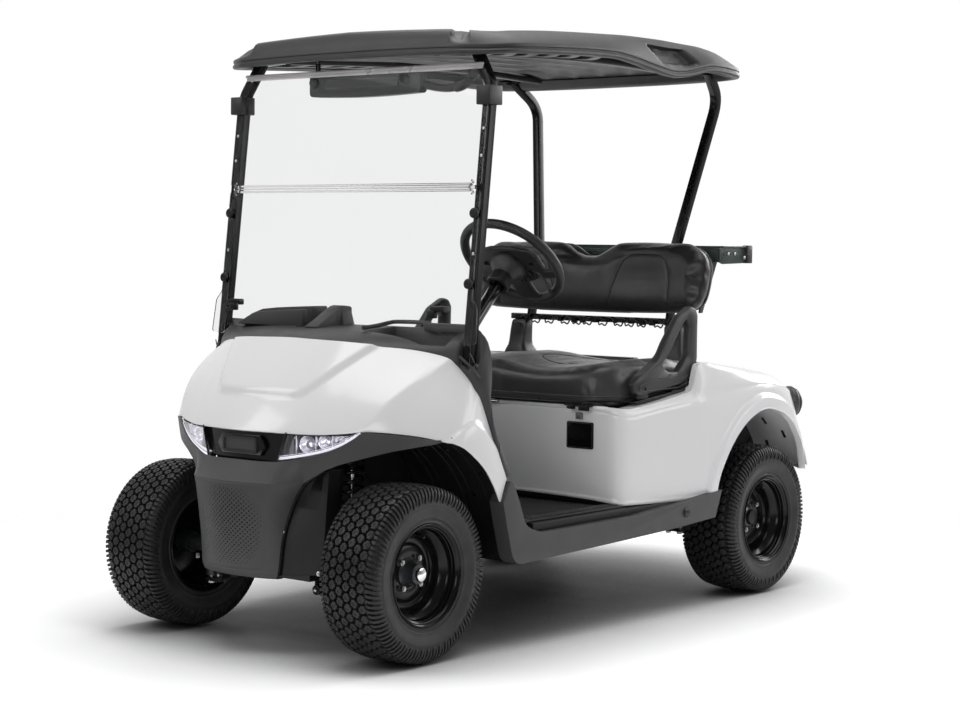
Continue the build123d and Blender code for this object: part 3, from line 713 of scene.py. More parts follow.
def tyre_shapes():
    half = [(0, WHEEL_R - TREAD_DEPTH), (64, crown(64) - TREAD_DEPTH), (80, crown(76) - 11),
            (91, 226), (96.5, 212), (98.0, 200), (98.2, 196), (99.5, 193), (99.0, 188), (97.0, 180),
            (93.5, 169), (90.5, 161), (90.8, 158), (89.6, 155.5), (87.0, 154), (86.5, 149),
            (88.2, 146.5), (88.6, 144), (87.0, 141.6), (84.0, 139.0), (80.0, 131.0), (66.0, 128.5)]
    outline = [(-x, r) for x, r in reversed(half[1:])] + half
    carcass = lathe(outline, *WHEEL_AXIS, 120)
    step = TURN / BLOCKS_AROUND
    blocks = [tread_block(x, (k + 0.5 * (row % 2)) * step, 11.3, 12.6, 0.20 if row % 2 else -0.20)
              for row, x in enumerate(BLOCK_ROWS) for k in range(BLOCKS_AROUND)]
    lugs = [shoulder_lug(side, (k + 0.25) * 2 * math.pi / LUGS_AROUND, 4.9, 5 if k % 2 else 4)
            for side in (-1, 1) for k in range(LUGS_AROUND)]
    # a near-black band just over the carcass shows between the blocks: painted shade at the bottom
    # of the tread grooves
    painted_groove_shade_band = lathe([(x, crown(x) - TREAD_DEPTH + 0.4) for x in (-66, 0, 66)], *WHEEL_AXIS, 120)
    return carcass, join(*blocks, *lugs), painted_groove_shade_band


def rim_shapes(front):
    section = [(17, 34), (19.5, 40), (22.0, 50), (22.0, 72), (19.0, 79), (15.0, 84), (16.5, 90),
               (16.0, 97), (21.0, 101), (30, 103.5), (40, 106.0), (45, 110.5), (50, 119.5),
               (56, 124.0), (64, 125.8), (69, 127.0), (71, 130.2), (76, 131.6), (81.5, 132.4),
               (84.5, 134.8), (86.5, 138.0), (88.0, 140.6), (90.0, 142.2), (92.0, 141.8),
               (92.8, 139.6), (91.0, 138.0), (87, 141), (84, 138.4), (79, 129), (58, 127.5),
               (46, 111), (38, 105), (-38, 105), (-50, 123.5), (-80, 127.5), (-84, 138.4),
               (-87, 141), (-89.5, 141.5), (-91, 139.5), (-88, 137), (-84, 132), (-62, 123),
               (-52, 119), (-42, 102), (2, 99.5), (10, 95), (11.0, 84), (12.0, 50), (11, 34)]
    nut = [(0, 0.01), (0, 10.5), (1.2, 11.2), (3, 9.6), (13, 9.2), (14.5, 7.6), (14.5, 5.4),
           (12.8, 5.2), (12.8, 0.01)]
    angles = [math.radians(50 + 90 * k) for k in range(STUDS)]
    spots = [(STUD_CIRCLE * math.cos(a), STUD_CIRCLE * math.sin(a)) for a in angles]
    nuts = join(*[lathe(nut, (21, y, z), (1, 0, 0), 6) for y, z in spots])
    studs = join(*[rod((12, y, z), (38, y, z), 5.2, 14, 1.2) for y, z in spots])
    valve = join(rod((44, 0, 111), (66, 0, 105), 4.4, 14),
                 rod((64, 0, 105.6), (76, 0, 102.6), 3.4, 12))
    if front:
        hub = [(-34, 0.01), (-34, 30), (14, 32), (18, 40), (21, 41), (23, 38), (27, 33), (40, 27.5),
               (52, 24.5), (54, 26.5), (57, 26.5), (57.5, 22), (56.5, 0.01)]
        cap = [(55, 0.01), (55, 19.5), (67, 19.0), (69.5, 18.2), (70.6, 16), (71.0, 0.01)]
    else:
        hub = [(-2, 0.01), (-2, 40), (14, 40), (22, 36), (26, 30), (27, 0.01)]
        cap = [(20, 0.01), (24, 26), (34, 24.5), (37, 22.5), (38, 19), (38.3, 0.01)]
    return [(lathe(section, *WHEEL_AXIS, 96, close=True), wheel_black), (nuts, zinc_steel),
            (studs, zinc_steel), (valve, black_plastic), (lathe(hub, *WHEEL_AXIS, 48), cast_metal),
            (lathe(cap, *WHEEL_AXIS, 48), chrome if front else black_plastic)]


def make_wheels():
    carcass, tread, band = tyre_shapes()
    for end, (x, y) in (("front", FRONT_WHEEL), ("rear", REAR_WHEEL)):
        rim_parts = rim_shapes(end == "front")
        for hand, side in (("left", 1), ("right", -1)):
            spin = Matrix.Rotation(math.radians(random.uniform(0, 60)), 4, "X")
            place = Matrix.Translation((side * x, y, WHEEL_R)) @ Matrix.Scale(side, 4, (1, 0, 0))
            body = f"wheel_{end}_{hand}"
            tyre = [(moved(carcass, place), tyre_rubber),
                    (moved(tread, place @ spin), tread_rubber), (moved(band, place), groove_shade_rubber)]
            put(f"{end}_{hand}_turf_tyre", tyre, body, f"tyre_{end}_{hand}")
            rim = [(moved(shape, place), mat) for shape, mat in rim_parts]
            put(f"{end}_{hand}_steel_wheel", rim, body, f"rim_{end}_{hand}")


random.seed(7)
make_wheels()


# ---------------------------------------------------------------- front cowl
def smooth_step(v):
    v = max(0.0, min(1.0, v))
    return v * v * (3 - 2 * v)


def table(xs, ys, x):
    for i in range(len(xs) - 1):
        if x <= xs[i + 1] or i == len(xs) - 2:
            f = max(0.0, min(1.0, (x - xs[i]) / (xs[i + 1] - xs[i])))
            return ys[i] + (ys[i + 1] - ys[i]) * f


def smooth_table(xs, ys, x):
    i = 0
    while i < len(xs) - 2 and x > xs[i + 1]:
        i += 1
    f = max(0.0, min(1.0, (x - xs[i]) / (xs[i + 1] - xs[i])))
    h = xs[i + 1] - xs[i]
    before = (ys[i + 1] - ys[i - 1]) / (xs[i + 1] - xs[i - 1]) if i else (ys[1] - ys[0]) / h
    last = i + 2 > len(xs) - 1
    after = (ys[i + 1] - ys[i]) / h if last else (ys[i + 2] - ys[i]) / (xs[i + 2] - xs[i])
    f2, f3 = f * f, f * f * f
    return ((2 * f3 - 3 * f2 + 1) * ys[i] + (f3 - 2 * f2 + f) * h * before
            + (3 * f2 - 2 * f3) * ys[i + 1] + (f3 - f2) * h * after)


# the hood's lower edge and its rear edge, paired point by point from the centre to the door
HOOD_LOW = [(0, -1135, 622), (80, -1130, 622), (160, -1110, 621), (241, -1075, 620),
            (313, -1040, 625), (362, -1012, 631), (420, -966, 628), (479, -910, 619),
            (515, -864, 606), (536, -836, 596), (546, -800, 579), (548, -735, 532),
            (547, -690, 484), (545, -648, 424)]
HOOD_HIGH = [(0, -925, 868), (96, -923, 866), (192, -906, 863), (280, -869, 857), (372, -817, 849),
             (447, -771, 831), (469, -752, 810), (487, -737, 785), (500, -726, 763),
             (508, -717, 742), (520, -703, 711), (533, -673, 620), (541, -649, 550),
             (545, -622, 489)]
HOOD_BULGE = [12, 12, 13, 15, 20, 25, 22, 18, 14, 11, 8, 6, 3, 0]
CREASE_KNOT, ARCH_KNOT = 5, 8
HOOD_STEPS, HOOD_ROWS = 8, 44


def half_curve(knots):
    # the curve through the left half's knots, HOOD_STEPS to a gap, level at the middle
    x, y, z = knots[1]
    return spline([(-x, y, z)] + knots, len(knots) * HOOD_STEPS)[HOOD_STEPS:]


def hood_sheet():
    low, high = half_curve(HOOD_LOW), half_curve(HOOD_HIGH)
    knots = len(HOOD_LOW) - 1
    columns = knots * HOOD_STEPS
    rows = []
    for j in range(HOOD_ROWS + 1):
        t = j / HOOD_ROWS
        row = []
        for i in range(columns + 1):
            s = i / HOOD_STEPS
            along = low[min(i + 1, columns)] - low[i - 1] if i else Vector((1, 0, 0))
            out = along.cross(high[i] - low[i]).normalized()
            if out.y > 0 and out.x < 0.2:
                out = -out
            lift = table(range(knots + 1), HOOD_BULGE, s) * math.sin(math.pi * t ** 0.85)
            lift += 5.0 * math.exp(-abs(s - CREASE_KNOT) / 0.55) * math.sin(
                math.pi * min(1, t * 1.05)) ** 0.7
            p = low[i].lerp(high[i], t)
            # the raised shield in the middle of the hood
            shield_x = 156 + 128 * max(0.0, (t - 0.33) / 0.67)
            side = (shield_x - p.x) / 17
            foot = (t - 0.325) / 0.10
            inside = min(side, foot) if abs(side - foot) > 1 else 0.5 * (
                side + foot) - 0.25 - 0.25 * (side - foot) ** 2
            lift += 9.5 * smooth_step(inside)
            # the lip over the wheel arch
            if s > ARCH_KNOT:
                rise = smooth_step(((s - ARCH_KNOT) / 3.2 - t) / 0.18)
                lift += 6.0 * rise * min(1.0, (s - ARCH_KNOT) / 0.8)
            row.append(p + out * lift)
        row[0].x = 0.0
        rows.append(row)
    return grid(rows)


put("hood_and_fenders", [(thick(both_sides(hood_sheet()), 6.0, 1.8, 3), white_paint)], "chassis",
    "front_cowl", smooth=50)

# ---------------------------------------------------------------- bumper face and brow
NOSE_X = [0, 80, 160, 241, 313, 362, 399, 439, 479, 515]
NOSE_Y = [-1135, -1130, -1110, -1075, -1040, -1012, -984, -949, -910, -864]


def nose_y(x):
    return smooth_table(NOSE_X, NOSE_Y, abs(x))


def wing_foot_y(x):
    return nose_y(x) + 4 * smooth_step((x - 210) / 40)


def brow_low(x):
    return table([0, 210, 260, 300, 340, 380, 420, 460, 500, 515],
                 [485, 485, 521, 539, 552, 565, 578, 588, 598, 604], x)


def brow_high(x):
    return smooth_table([0, 130, 172, 216, 260, 301, 338, 362, 399, 439, 479, 515],
                        [541, 541, 547, 556, 568, 586, 610, 628, 627, 623, 616, 605], x)


# bumper rows: height, centre y, panel corner x and y, side edge x and y
FACE_ROWS = [(485, -1188, 146, -1157, 210, -1087), (437, -1189, 141, -1155, 180, -1093),
             (341, -1182, 128, -1151, 160, -1116), (239, -1166, 114, -1145, 150, -1124),
             (220, -1154, 112, -1138, 143, -1122)]


def face_row(z):
    # a bumper row's measures at any height
    zs = [r[0] for r in reversed(FACE_ROWS)]
    return [smooth_table(zs, [r[k] for r in reversed(FACE_ROWS)], z) for k in range(1, 6)]


def face_point(c, z):
    # c runs 0 at the centre, 1 at the panel's edge, 2 at the bumper's side edge
    y0, xc, yc, xw, yw = face_row(z)
    if c <= 1:
        return Vector((xc * c, y0 + (yc - y0) * c * c, z))
    f = c - 1
    return Vector((xc + (xw - xc) * f, yc + (yw - yc) * (0.55 * f + 0.45 * f * f), z))


PANEL_TOP, PANEL_FOOT, PANEL_R, GROOVE = 478.0, 243.0, 24.0, 3.2
BROW_Z = 485
DOT_ROWS, DOT_PITCH, DOT_REACH = 33, 15.6, 128


def bowed_y(x, z):
    # the bumper's front between its panel's corners
    y0, xc, yc, _, _ = face_row(z)
    return y0 + (yc - y0) * (x / xc) ** 2


def panel_distance(x, z):
    # distance inside (+) or outside (-) of the inset panel's rounded outline
    half = face_row(z)[1] - 1
    dx, dz = half - abs(x), min(PANEL_TOP - z, z - PANEL_FOOT)
    if dx < PANEL_R and dz < PANEL_R:
        return PANEL_R - math.hypot(PANEL_R - dx, PANEL_R - dz)
    return min(dx, dz)


def dense(low, high, near, reach, fine, coarse):
    # steps from low to high, fine within reach of each value in near
    out, v = [low], low
    while v < high - 1e-6:
        close = min(abs(v + coarse * 0.5 - n) for n in near) < reach
        v = min(high, v + (fine if close else coarse))
        out.append(v)
    return out


def bumper_sheet():
    columns = [c / 145 for c in dense(0, 121, [133], 16, 4, 6)]
    columns += [c / 145 for c in dense(columns[-1] * 145 + 2.0, 145, [133], 40, 2.0, 4)]
    columns += [1 + c / 64 for c in dense(2.0, 64, [0], 8, 2.0, 5)]
    rows = []
    for z in dense(220, BROW_Z, [243, 478], 26, 2.2, 5):
        row = []
        for c in columns:
            p = face_point(c, z)
            d = panel_distance(p.x, z)
            p.y += 1.6 * smooth_step(1 - abs(d) / GROOVE) + (0.8 if d > 0
                                                             else 0.0) * smooth_step(d / 3)
            row.append(p)
        rows.append(row)
    tall = len(rows)
    edge = [p.x for p in rows[-1]]
    wing = edge + dense(edge[-1] + 6, 515, [515], 20, 4, 8)
    _, xc, _, xw, _ = face_row(BROW_Z)
    for k in range(1, 23):
        t = k / 22
        row = []
        for x in wing:
            if x > edge[-1] + 0.01:
                low_y = wing_foot_y(x)
            elif x > xc:
                low_y = face_point(1 + (x - xc) / (xw - xc), BROW_Z).y
            else:
                low_y = bowed_y(x, BROW_Z)
            low_z = brow_low(x)
            row.append(Vector((x, low_y + (nose_y(x) - 5 - low_y) * t ** 0.9,
                               low_z + (brow_high(x) - low_z) * t)))
        rows.append(row)
    # the face, and above it the brow, whose rows run on into the wing
    n, m = len(columns), len(wing)
    start = [i * n for i in range(tall)] + [tall * n + i * m for i in range(len(rows) - tall)]
    faces = []
    for i in range(len(rows) - 1):
        a, b = start[i], start[i + 1]
        faces += [(a + j, a + j + 1, b + j + 1, b + j)
                  for j in range(min(len(rows[i]), len(rows[i + 1])) - 1)]
    # the wing starts beyond the face, so it gets its own lower row
    points = [p for row in rows for p in row]
    chain = [start[tall] - 1] + [len(points) + k for k in range(m - n)]
    points += [Vector((x, wing_foot_y(x), brow_low(x))) for x in wing[n:]]
    first = start[tall] + n - 1
    faces += [(chain[k], chain[k + 1], first + k + 1, first + k) for k in range(m - n)]
    return points, faces


def panel_dots():
    # a grid of dots that shrink away from the middle of the panel
    dots = []
    for i in range(DOT_ROWS):
        z = PANEL_FOOT + 14 + (PANEL_TOP - PANEL_FOOT - 28) * i / (DOT_ROWS - 1)
        y0, xc, yc, _, _ = face_row(z)
        for j in range(-10, 11):
            x = (j + (0.5 if i % 2 else 0.0)) * DOT_PITCH
            reach = math.hypot(x / DOT_REACH, (z - 360) / DOT_REACH)
            if panel_distance(x, z) < 13 or reach > 1.0:
                continue
            r = 2.9 * max(0.0, 1 - reach ** 2.6) ** 0.55 + 0.35
            outward = Vector((2 * (yc - y0) * x / xc ** 2, -1, 0)).normalized()
            profile = [(-0.3, r), (0.22, r), (0.12, r * 0.55), (0.05, 0.01)]
            dots.append(lathe(profile, (x, bowed_y(x, z) + 0.8, z), outward, 8))
    return join(*dots)


def side_guard():
    # the black splash guard that fills the bumper's side behind its edge
    rows = []
    for z in dense(226, 522, [0], 1, 12, 12):
        if z <= BROW_Z:
            xw, yw = face_row(z)[3:]
        else:
            xw, yw = 210 + (z - BROW_Z) * 1.35, -1087 + (z - BROW_Z) * 0.6
        f = (z - 226) / 296
        x, y = 236 + 14 * f, -996 + 12 * f
        knee = Vector((x - 22, y - 44, z))
        rows.append([(xw - 3.5, yw + 5, z), (xw - 8, yw + 16, z), (xw - 6, yw + 24, z),
                     (xw * 0.55 + knee.x * 0.45, yw * 0.5 + knee.y * 0.5, z), knee,
                     (x - 6, y - 38, z), (x + 4, y - 8, z), (x + 2, y + 10, z)])
    return grid(rows)


def foot_rail():
    # the rolled lower edge of the bumper
    rows = []
    for k in range(41):
        x = -142 + 284 * k / 40
        a = abs(x)
        _, xc, yc, xw, yw = face_row(221)
        y = bowed_y(a, 221) if a <= xc else yc + (yw - yc) * ((a - xc) / (xw - xc))
        rows.append([(x, y + back, z) for back, z in ((2, 224), (3, 219), (9, 216), (26, 216),
                                                      (26, 220), (10, 221))])
    return grid(rows, close_cols=True)


guard_bolts = join(*[rod((side * 236, -1052, 236), (side * 244, -1060, 236), 8, 6, 1)
                     for side in (1, -1)])
put("bumper_face", [(thick(both_sides(bumper_sheet()), 5.0, 1.4, 2), grey_plastic),
                    (panel_dots(), gloss_black), (foot_rail(), grey_plastic)], "chassis",
    "bumper_cowl", smooth=34)
put("bumper_side_guards", [(thick(both_sides(side_guard()), 4.0, 1.0, 2), black_plastic),
                           (guard_bolts, zinc_steel)], "chassis", smooth=34)


# ---------------------------------------------------------------- lamps and light panel
LAMP_IN_TOP, LAMP_IN_LOW, LAMP_OUT = 158.0, 131.0, 360.0


def lamp_point(u, v, depth):
    # u runs from the inner edge to the outer tip, v from the lower edge to the upper edge
    inset = 4.0 + depth * 0.10
    low_x = LAMP_IN_LOW + (LAMP_OUT - LAMP_IN_LOW) * u
    top_x = LAMP_IN_TOP + (LAMP_OUT - LAMP_IN_TOP) * u
    low_z = brow_high(low_x) + 1.5 + inset * 0.3
    top_z = max(table([158, 241, 313, 362], [617, 616, 620, 628], top_x) - inset * 0.3, low_z + 0.5)
    x = low_x + (top_x - low_x) * v + (inset * 0.5 if u < 0.02 else 0)
    return Vector((x, nose_y(x) + depth, low_z + (top_z - low_z) * v))


def lamp_sheet(depth, rows, bow):
    return grid([[lamp_point(i / 36, j / rows, depth - bow * math.sin(math.pi * j / rows))
                  for i in range(37)] for j in range(rows + 1)])


def lamp_edge(depth):
    n = 36
    loop = [lamp_point(i / n, 0, depth) for i in range(n + 1)]
    loop += [lamp_point(1, j / 4, depth) for j in range(1, 4)]
    loop += [lamp_point(i / n, 1, depth) for i in range(n, -1, -1)]
    loop += [lamp_point(0, j / 6, depth) for j in range(5, 0, -1)]
    return loop


def bowl(x, z, radius, deep):
    profile = [(-deep * (1 - (k / 9) ** 1.7), 0.6 + (radius - 0.6) * k / 9) for k in range(10)]
    profile += [(0.8, radius + 1.5), (-3, radius + 1.5)]
    return lathe(profile, (x, nose_y(x) + 13, z), (0.25, -1, 0.0), 28)


lamp_silver = material("lamp_silver", (0.82, 0.81, 0.86), 0.16, 0.95, mottle=(60, 0.12),
                       rough_vary=(80, 0.06), grain=PEEL)
lamp_dark = material("lamp_dark", (0.16, 0.155, 0.17), 0.22, 0.7, mottle=(40, 0.3),
                     rough_vary=(60, 0.06), grain=PEEL)
led_white = material("led_white", (0.88, 0.86, 0.93), 0.25, mottle=(30, 0.04), grain=FINE,
                     Emission_Strength=0.42, Emission_Color=(0.95, 0.93, 1.0, 1))


def lamp_parts():
    walls = grid([lamp_edge(d) for d in (3.5, 8, 20, 40)], close_cols=True)
    bar = [lamp_point(0.02 + 0.93 * i / 36, 0.0, 9) + Vector((0, 0, 5.5)) for i in range(37)]
    led = sweep(bar, box_section(8, 7, 2.5, 2))
    shade = sweep([p + Vector((0, -1, 6.5)) for p in bar], box_section(10, 1.6, 0.6, 2))
    cups = join(bowl(212, 591, 23, 30), bowl(258, 599, 19, 26))
    facets = []
    for k in range(5):
        for m in range(3):
            x, z = 284 + k * 12 + m * 2, 596 + m * 9 + k * 1.6
            if brow_high(x) + 13 <= z <= 622:
                facets.append(lathe([(-9, 0.4), (-3, 4.4), (0.5, 5.6)], (x, nose_y(x) + 15, z),
                                    (0.2, -1, 0), 6))
    fins = []
    for x, z0, z1 in ((184, 566, 616), (236, 574, 617), (278, 583, 619)):
        y = nose_y(x)
        fins.append(prism([(y + 9, z0), (y + 9, z1), (y + 40, z1), (y + 40, z0)], x - 1.3, x + 1.3,
                          "yz", 0.8, 1))
    wedge = prism([(150, 556), (182, 561), (176, 606)], nose_y(165) + 12, nose_y(165) + 34, "xz", 2,
                  2)
    pins = join(*[lathe([(0, 7), (10, 7), (14, 5), (16, 0.2)], (x, nose_y(x) + 34, z),
                        (0.25, -1, 0), 20) for x, z in ((212, 591), (258, 599))])
    return on_both_sides((walls, lamp_silver), (lamp_sheet(40, 6, 6), lamp_dark), (led, led_white),
                         (shade, lamp_silver), (cups, lamp_silver), (join(*facets), lamp_silver),
                         (join(*fins), lamp_silver), (wedge, lamp_dark), (pins, chrome))


put("headlamp_reflectors", lamp_parts(), "chassis", smooth=30)
put("headlamp_lenses", [(thick(both_sides(lamp_sheet(3.0, 8, 2.0)), 2.4, 0.6, 1), lamp_lens)],
    "chassis", "headlamps", smooth=40)


def light_panel_y(x):
    return -1112 + 0.00045 * x * x


def light_panel_sheet():
    rows = []
    for j in range(9):
        v = j / 8
        half, z = 132 + 28 * v, 540 + 84 * v
        row = [(half * c / 16, light_panel_y(half * c / 16) + 3 * v, z) for c in range(17)]
        x, y, z = row[-1]
        rows.append(row + [(x + 2, y - 15, z)])
    return grid(rows)


BADGE_Z = 581.0
plate_half = [(0, -28), (74, -28), (93, 0), (74, 28), (0, 28)]
plate_outline = [(x, BADGE_Z + z) for x, z in plate_half] + [(-x, BADGE_Z + z)
                                                             for x, z in plate_half[::-1] if x > 0]
badge_outline = plate(-66, 66, BADGE_Z - 23, BADGE_Z + 23, 9, 5)
field_outline = plate(-58, 58, BADGE_Z - 16, BADGE_Z + 16, 6, 5)
badge_ring = grid([
    [Vector((x, -1119, z)) for x, z in badge_outline],
    [Vector((x, -1127, z)) for x, z in badge_outline],
    [Vector((x * 0.985, -1129, BADGE_Z + (z - BADGE_Z) * 0.96)) for x, z in badge_outline],
    [Vector((x * 1.01, -1129, BADGE_Z + (z - BADGE_Z) * 1.03)) for x, z in field_outline],
    [Vector((x, -1125, z)) for x, z in field_outline]], close_cols=True)
badge_field = ([Vector((x, -1125.2, z)) for x, z in field_outline],
               [tuple(range(len(field_outline)))])
put("light_panel_and_plate", [(thick(both_sides(light_panel_sheet()), 3, 0.6, 1), gloss_black),
                              (prism(plate_outline, -1121, -1112, "xz", 2, 2), gloss_black),
                              (badge_ring, trim_plastic), (badge_field, grey_plastic)], "chassis",
    "light_panel", smooth=34)

# ---------------------------------------------------------------- dashboard
DASH_REAR = [(0, -666, 905), (100, -666, 905), (200, -666, 905), (290, -667, 905), (384, -668, 905),
             (462, -680, 908), (492, -686, 907), (509, -690, 898), (520, -680, 874),
             (524, -668, 842), (528, -666, 790), (533, -674, 705), (541, -648, 602),
             (547, -597, 500)]
TRAY_X = (165.0, 438.0)
TRAY_Y = (-795.0, -676.0)
TRAY_COLUMNS = (5, 13)


def strut_y(z):
    # how far back the leaned front strut stands at a height
    return -716 + 0.1104 * (z - 836)


def dash_point(low, rear, t):
    base = low.lerp(rear, t)
    side = smooth_step((base.x - 440) / 70)
    crown = 13 * math.sin(math.pi * t ** 0.7)
    out = Vector((0.75 * side, -0.45, 1 - 0.7 * side)).normalized()
    p = base + out * crown * (1 - 0.25 * side) + Vector((0, 1.5, -3.0)) * (1 - t)
    # the recess that the strut's foot stands in
    dx, dy = p.x - 488, p.y - strut_y(p.z)
    across = abs(0.78 * dx + 0.63 * dy)
    depth = 0.63 * dx - 0.78 * dy + 4
    share = smooth_step((34 - across) / 16) * smooth_step((p.z - 800) / 18) * smooth_step(
        (925 - p.z) / 14)
    return p - Vector((0.63, -0.78, 0)) * max(0.0, depth) * share


def make_dash():
    # the dash's skin, with the tray's opening on the left, and the rim of that opening
    low, rear = half_curve(HOOD_HIGH), half_curve(DASH_REAR)
    rows = []
    for a, b in zip(low, rear):
        y_front = max(TRAY_Y[0], a.y + 22)
        t_front = max(0.05, min(0.95, (y_front - a.y) / (b.y - a.y)))
        t_rear = max(t_front + 0.02, min(0.97, (TRAY_Y[1] - a.y) / (b.y - a.y)))
        steps = [t_front * k / 5 for k in range(6)]
        steps += [t_front + (t_rear - t_front) * k / 8 for k in range(1, 9)]
        steps += [t_rear + (1 - t_rear) * k / 3 for k in range(1, 4)]
        row = [dash_point(a, b, t) for t in steps]
        end = row[-1]
        side_part = smooth_step((end.x - 440) / 60)
        row.append(end + Vector((-6 * side_part, 3, -6 + 4 * side_part)))
        row.append(end + Vector((-30 * side_part, 5, -34 + 30 * side_part)))
        rows.append(row)
    rows[0] = [Vector((0, p.y, p.z)) for p in rows[0]]
    first = next(i for i, a in enumerate(low) if a.x > TRAY_X[0])
    last = max(i for i, a in enumerate(low) if a.x < TRAY_X[1])
    front, back = TRAY_COLUMNS
    points, faces = grid(rows)
    wide = len(rows[0])
    opened = [f for f in faces if not (first <= f[0] // wide < last
                                       and front <= f[0] % wide < back)]
    rim = [rows[i][front] for i in range(first, last + 1)] + rows[last][front + 1:back + 1]
    rim += [rows[i][back] for i in range(last - 1, first - 1, -1)] + rows[first][back - 1:front:-1]
    return join((points, opened), flip_x((points, faces))), rim


dash_skin, tray_rim = make_dash()
centre = sum(tray_rim, Vector()) / len(tray_rim)
tray_walls = grid([
    tray_rim,
    [Vector((p.x, p.y, p.z - 4)) + (centre - p).normalized() * 3 for p in tray_rim],
    [Vector((p.x, p.y, 862)) + (centre - p).normalized() * 5 for p in tray_rim],
    [Vector((p.x, p.y, 846)) + (centre - p).normalized() * 12 for p in tray_rim],
    [Vector((centre.x + (p.x - centre.x) * 0.5, centre.y + (p.y - centre.y) * 0.5, 844))
     for p in tray_rim],
    [Vector((centre.x, centre.y, 844)) for p in tray_rim]], close_cols=True)
ledge = prism(rounded([(300, -700), (462, -700), (466, -662), (300, -660)], 8, 4), 896, 919, "xy",
              4, 3)
rim_bar = sweep(curve_through([(163, -800, 903), (163, -740, 908), (165, -682, 916),
                               (176, -667, 918), (240, -664, 919), (300, -664, 918)], 40),
                box_section(9, 12, 3.5, 3))
clips = join(*[join(box(x - 22, x + 22, -752, -716, 952, 970, 3),
                    box(foot - 12, foot + 12, -762, -742, 936, 958, 3))
               for x, foot in ((392, 380), (-424, -412))])
hump = [(-392, 893), (-372, 906), (-345, 921), (-300, 936), (-240, 942), (-173, 946), (-116, 949),
        (-112, 946), (-112, 890), (-392, 886)]
fin = [(-806, 893), (-770, 912), (-725, 937), (-700, 950), (-686, 953), (-656, 950), (-652, 944),
       (-652, 888), (-800, 884)]
hump_low = prism(hump, -742, -654, "xz", 6, 3)
hump_cap = prism([(-386, 890), (-340, 914), (-300, 928), (-180, 937), (-112, 940), (-112, 888)],
                 -764, -740, "xz", 3, 2)
slot_fin = prism(fin, -62, -14, "yz", 7, 4)
fin_fall = prism([(-20, 888), (-20, 948), (-12, 934), (-4, 908), (2, 890)], -700, -654, "xz", 5, 3)
screws = join(*[rod((x, -700, z), (x, -700, z + 5), 4, 10, 0.8)
                for x, z in ((-320, 936), (-262, 938.9), (-200, 942))])
slot_floor = box(-112, -62, -790, -656, 884, 899, 1, 1)


def dash_face():
    rows = []
    for k in range(15):
        f = k / 14
        z = 900 - 210 * f
        y = -660 + 8 * math.sin(math.pi * f) - 12 * f
        wide = table([690, 766, 844, 872, 890, 900], [515, 513, 505, 496, 484, 470], z)
        rows.append([Vector((x, y + 10 * (abs(x) / 505) ** 6, z))
                     for x in (wide * (i / 20 - 1) for i in range(41))])
    return grid(rows)


GLOVE_PANELS = ((-440, -150), (70, 205), (330, 450))
glove_lines = [[(x, -650, z) for x, z in plate(*span, 740, 852, 18, 5)] for span in GLOVE_PANELS]
glove = join(*[sweep(line, box_section(7, 7, 2.5, 2), up=(0, 1, 0), closed=True)
               for line in glove_lines])
panel_backs = join(*[box(*span, -655, -648, 740, 852, 2, 1) for span in GLOVE_PANELS])
seam_path = [(505, -737, 842), (511, -722, 812), (516, -700, 770), (520, -684, 738),
             (524, -668, 712)]
seam_line = tube(curve_through(seam_path, 24), 1.8, 8)
strut_lip = tube(curve_through([(478, -751, 834), (494, -741, 818), (508, -728, 800),
                                (519, -708, 772)], 24), 4, 10)
raised = [shifted(shape, 0, 0, 7) for shape in (hump_low, hump_cap, slot_fin, fin_fall)]
put("dashboard_top", [(thick(dash_skin, 5, 1.4, 2), dash_plastic), (tray_walls, dash_plastic),
                      (ledge, dash_plastic), (rim_bar, dash_plastic), (join(*raised), dash_plastic),
                      (slot_floor, gloss_black), (screws, black_steel),
                      (both_sides(seam_line), gloss_black), (both_sides(strut_lip), dash_plastic),
                      (thick(dash_face(), 5, 1, 1), trim_plastic), (glove, dash_plastic),
                      (panel_backs, black_plastic)], "chassis", "dashboard",
    smooth=36)

# ---------------------------------------------------------------- windscreen
PANE_THICK = 4.6


def screen_y(z):
    return -687.0 + 0.111 * (z - 1304.0)


def add_pane(name, corners, radii, node):
    # a flat pane with a polished rim, leaned back with the struts
    front = [Vector((x, screen_y(z), z)) for x, z in rounded(corners, radii, 10)]
    n = len(front)
    points = front + [p + Vector((0, PANE_THICK, 0)) for p in front]
    faces = [tuple(range(n)), tuple(range(2 * n - 1, n - 1, -1))]
    rim = [(i, (i + 1) % n, n + (i + 1) % n, n + i) for i in range(n)]
    put(name, [((points, faces), clear_pane), ((points, rim), pane_edge)], "chassis",
        node, smooth=20)


lower_half = [(391, 897), (438, 882), (486, 862), (524, 868), (517, 966), (496, 992), (495, 1294.5)]
lower_foot = [(-250, 908), (0, 911), (250, 908)]
lower_all = [(-x, z) for x, z in reversed(lower_half)] + lower_foot + lower_half
lower_radii = [6, 12, 18, 12, 16, 30, 30, 200, 200, 200, 30, 30, 16, 12, 18, 12, 6]
add_pane("windscreen_lower_pane", lower_all, lower_radii, "windscreen_lower")
add_pane("windscreen_upper_pane", [(-495, 1313.5), (495, 1313.5), (495, 1540), (472, 1600),
                                   (440, 1640), (-440, 1640), (-472, 1600), (-495, 1540)],
         [8, 8, 30, 60, 30, 30, 60, 30], "windscreen_upper")


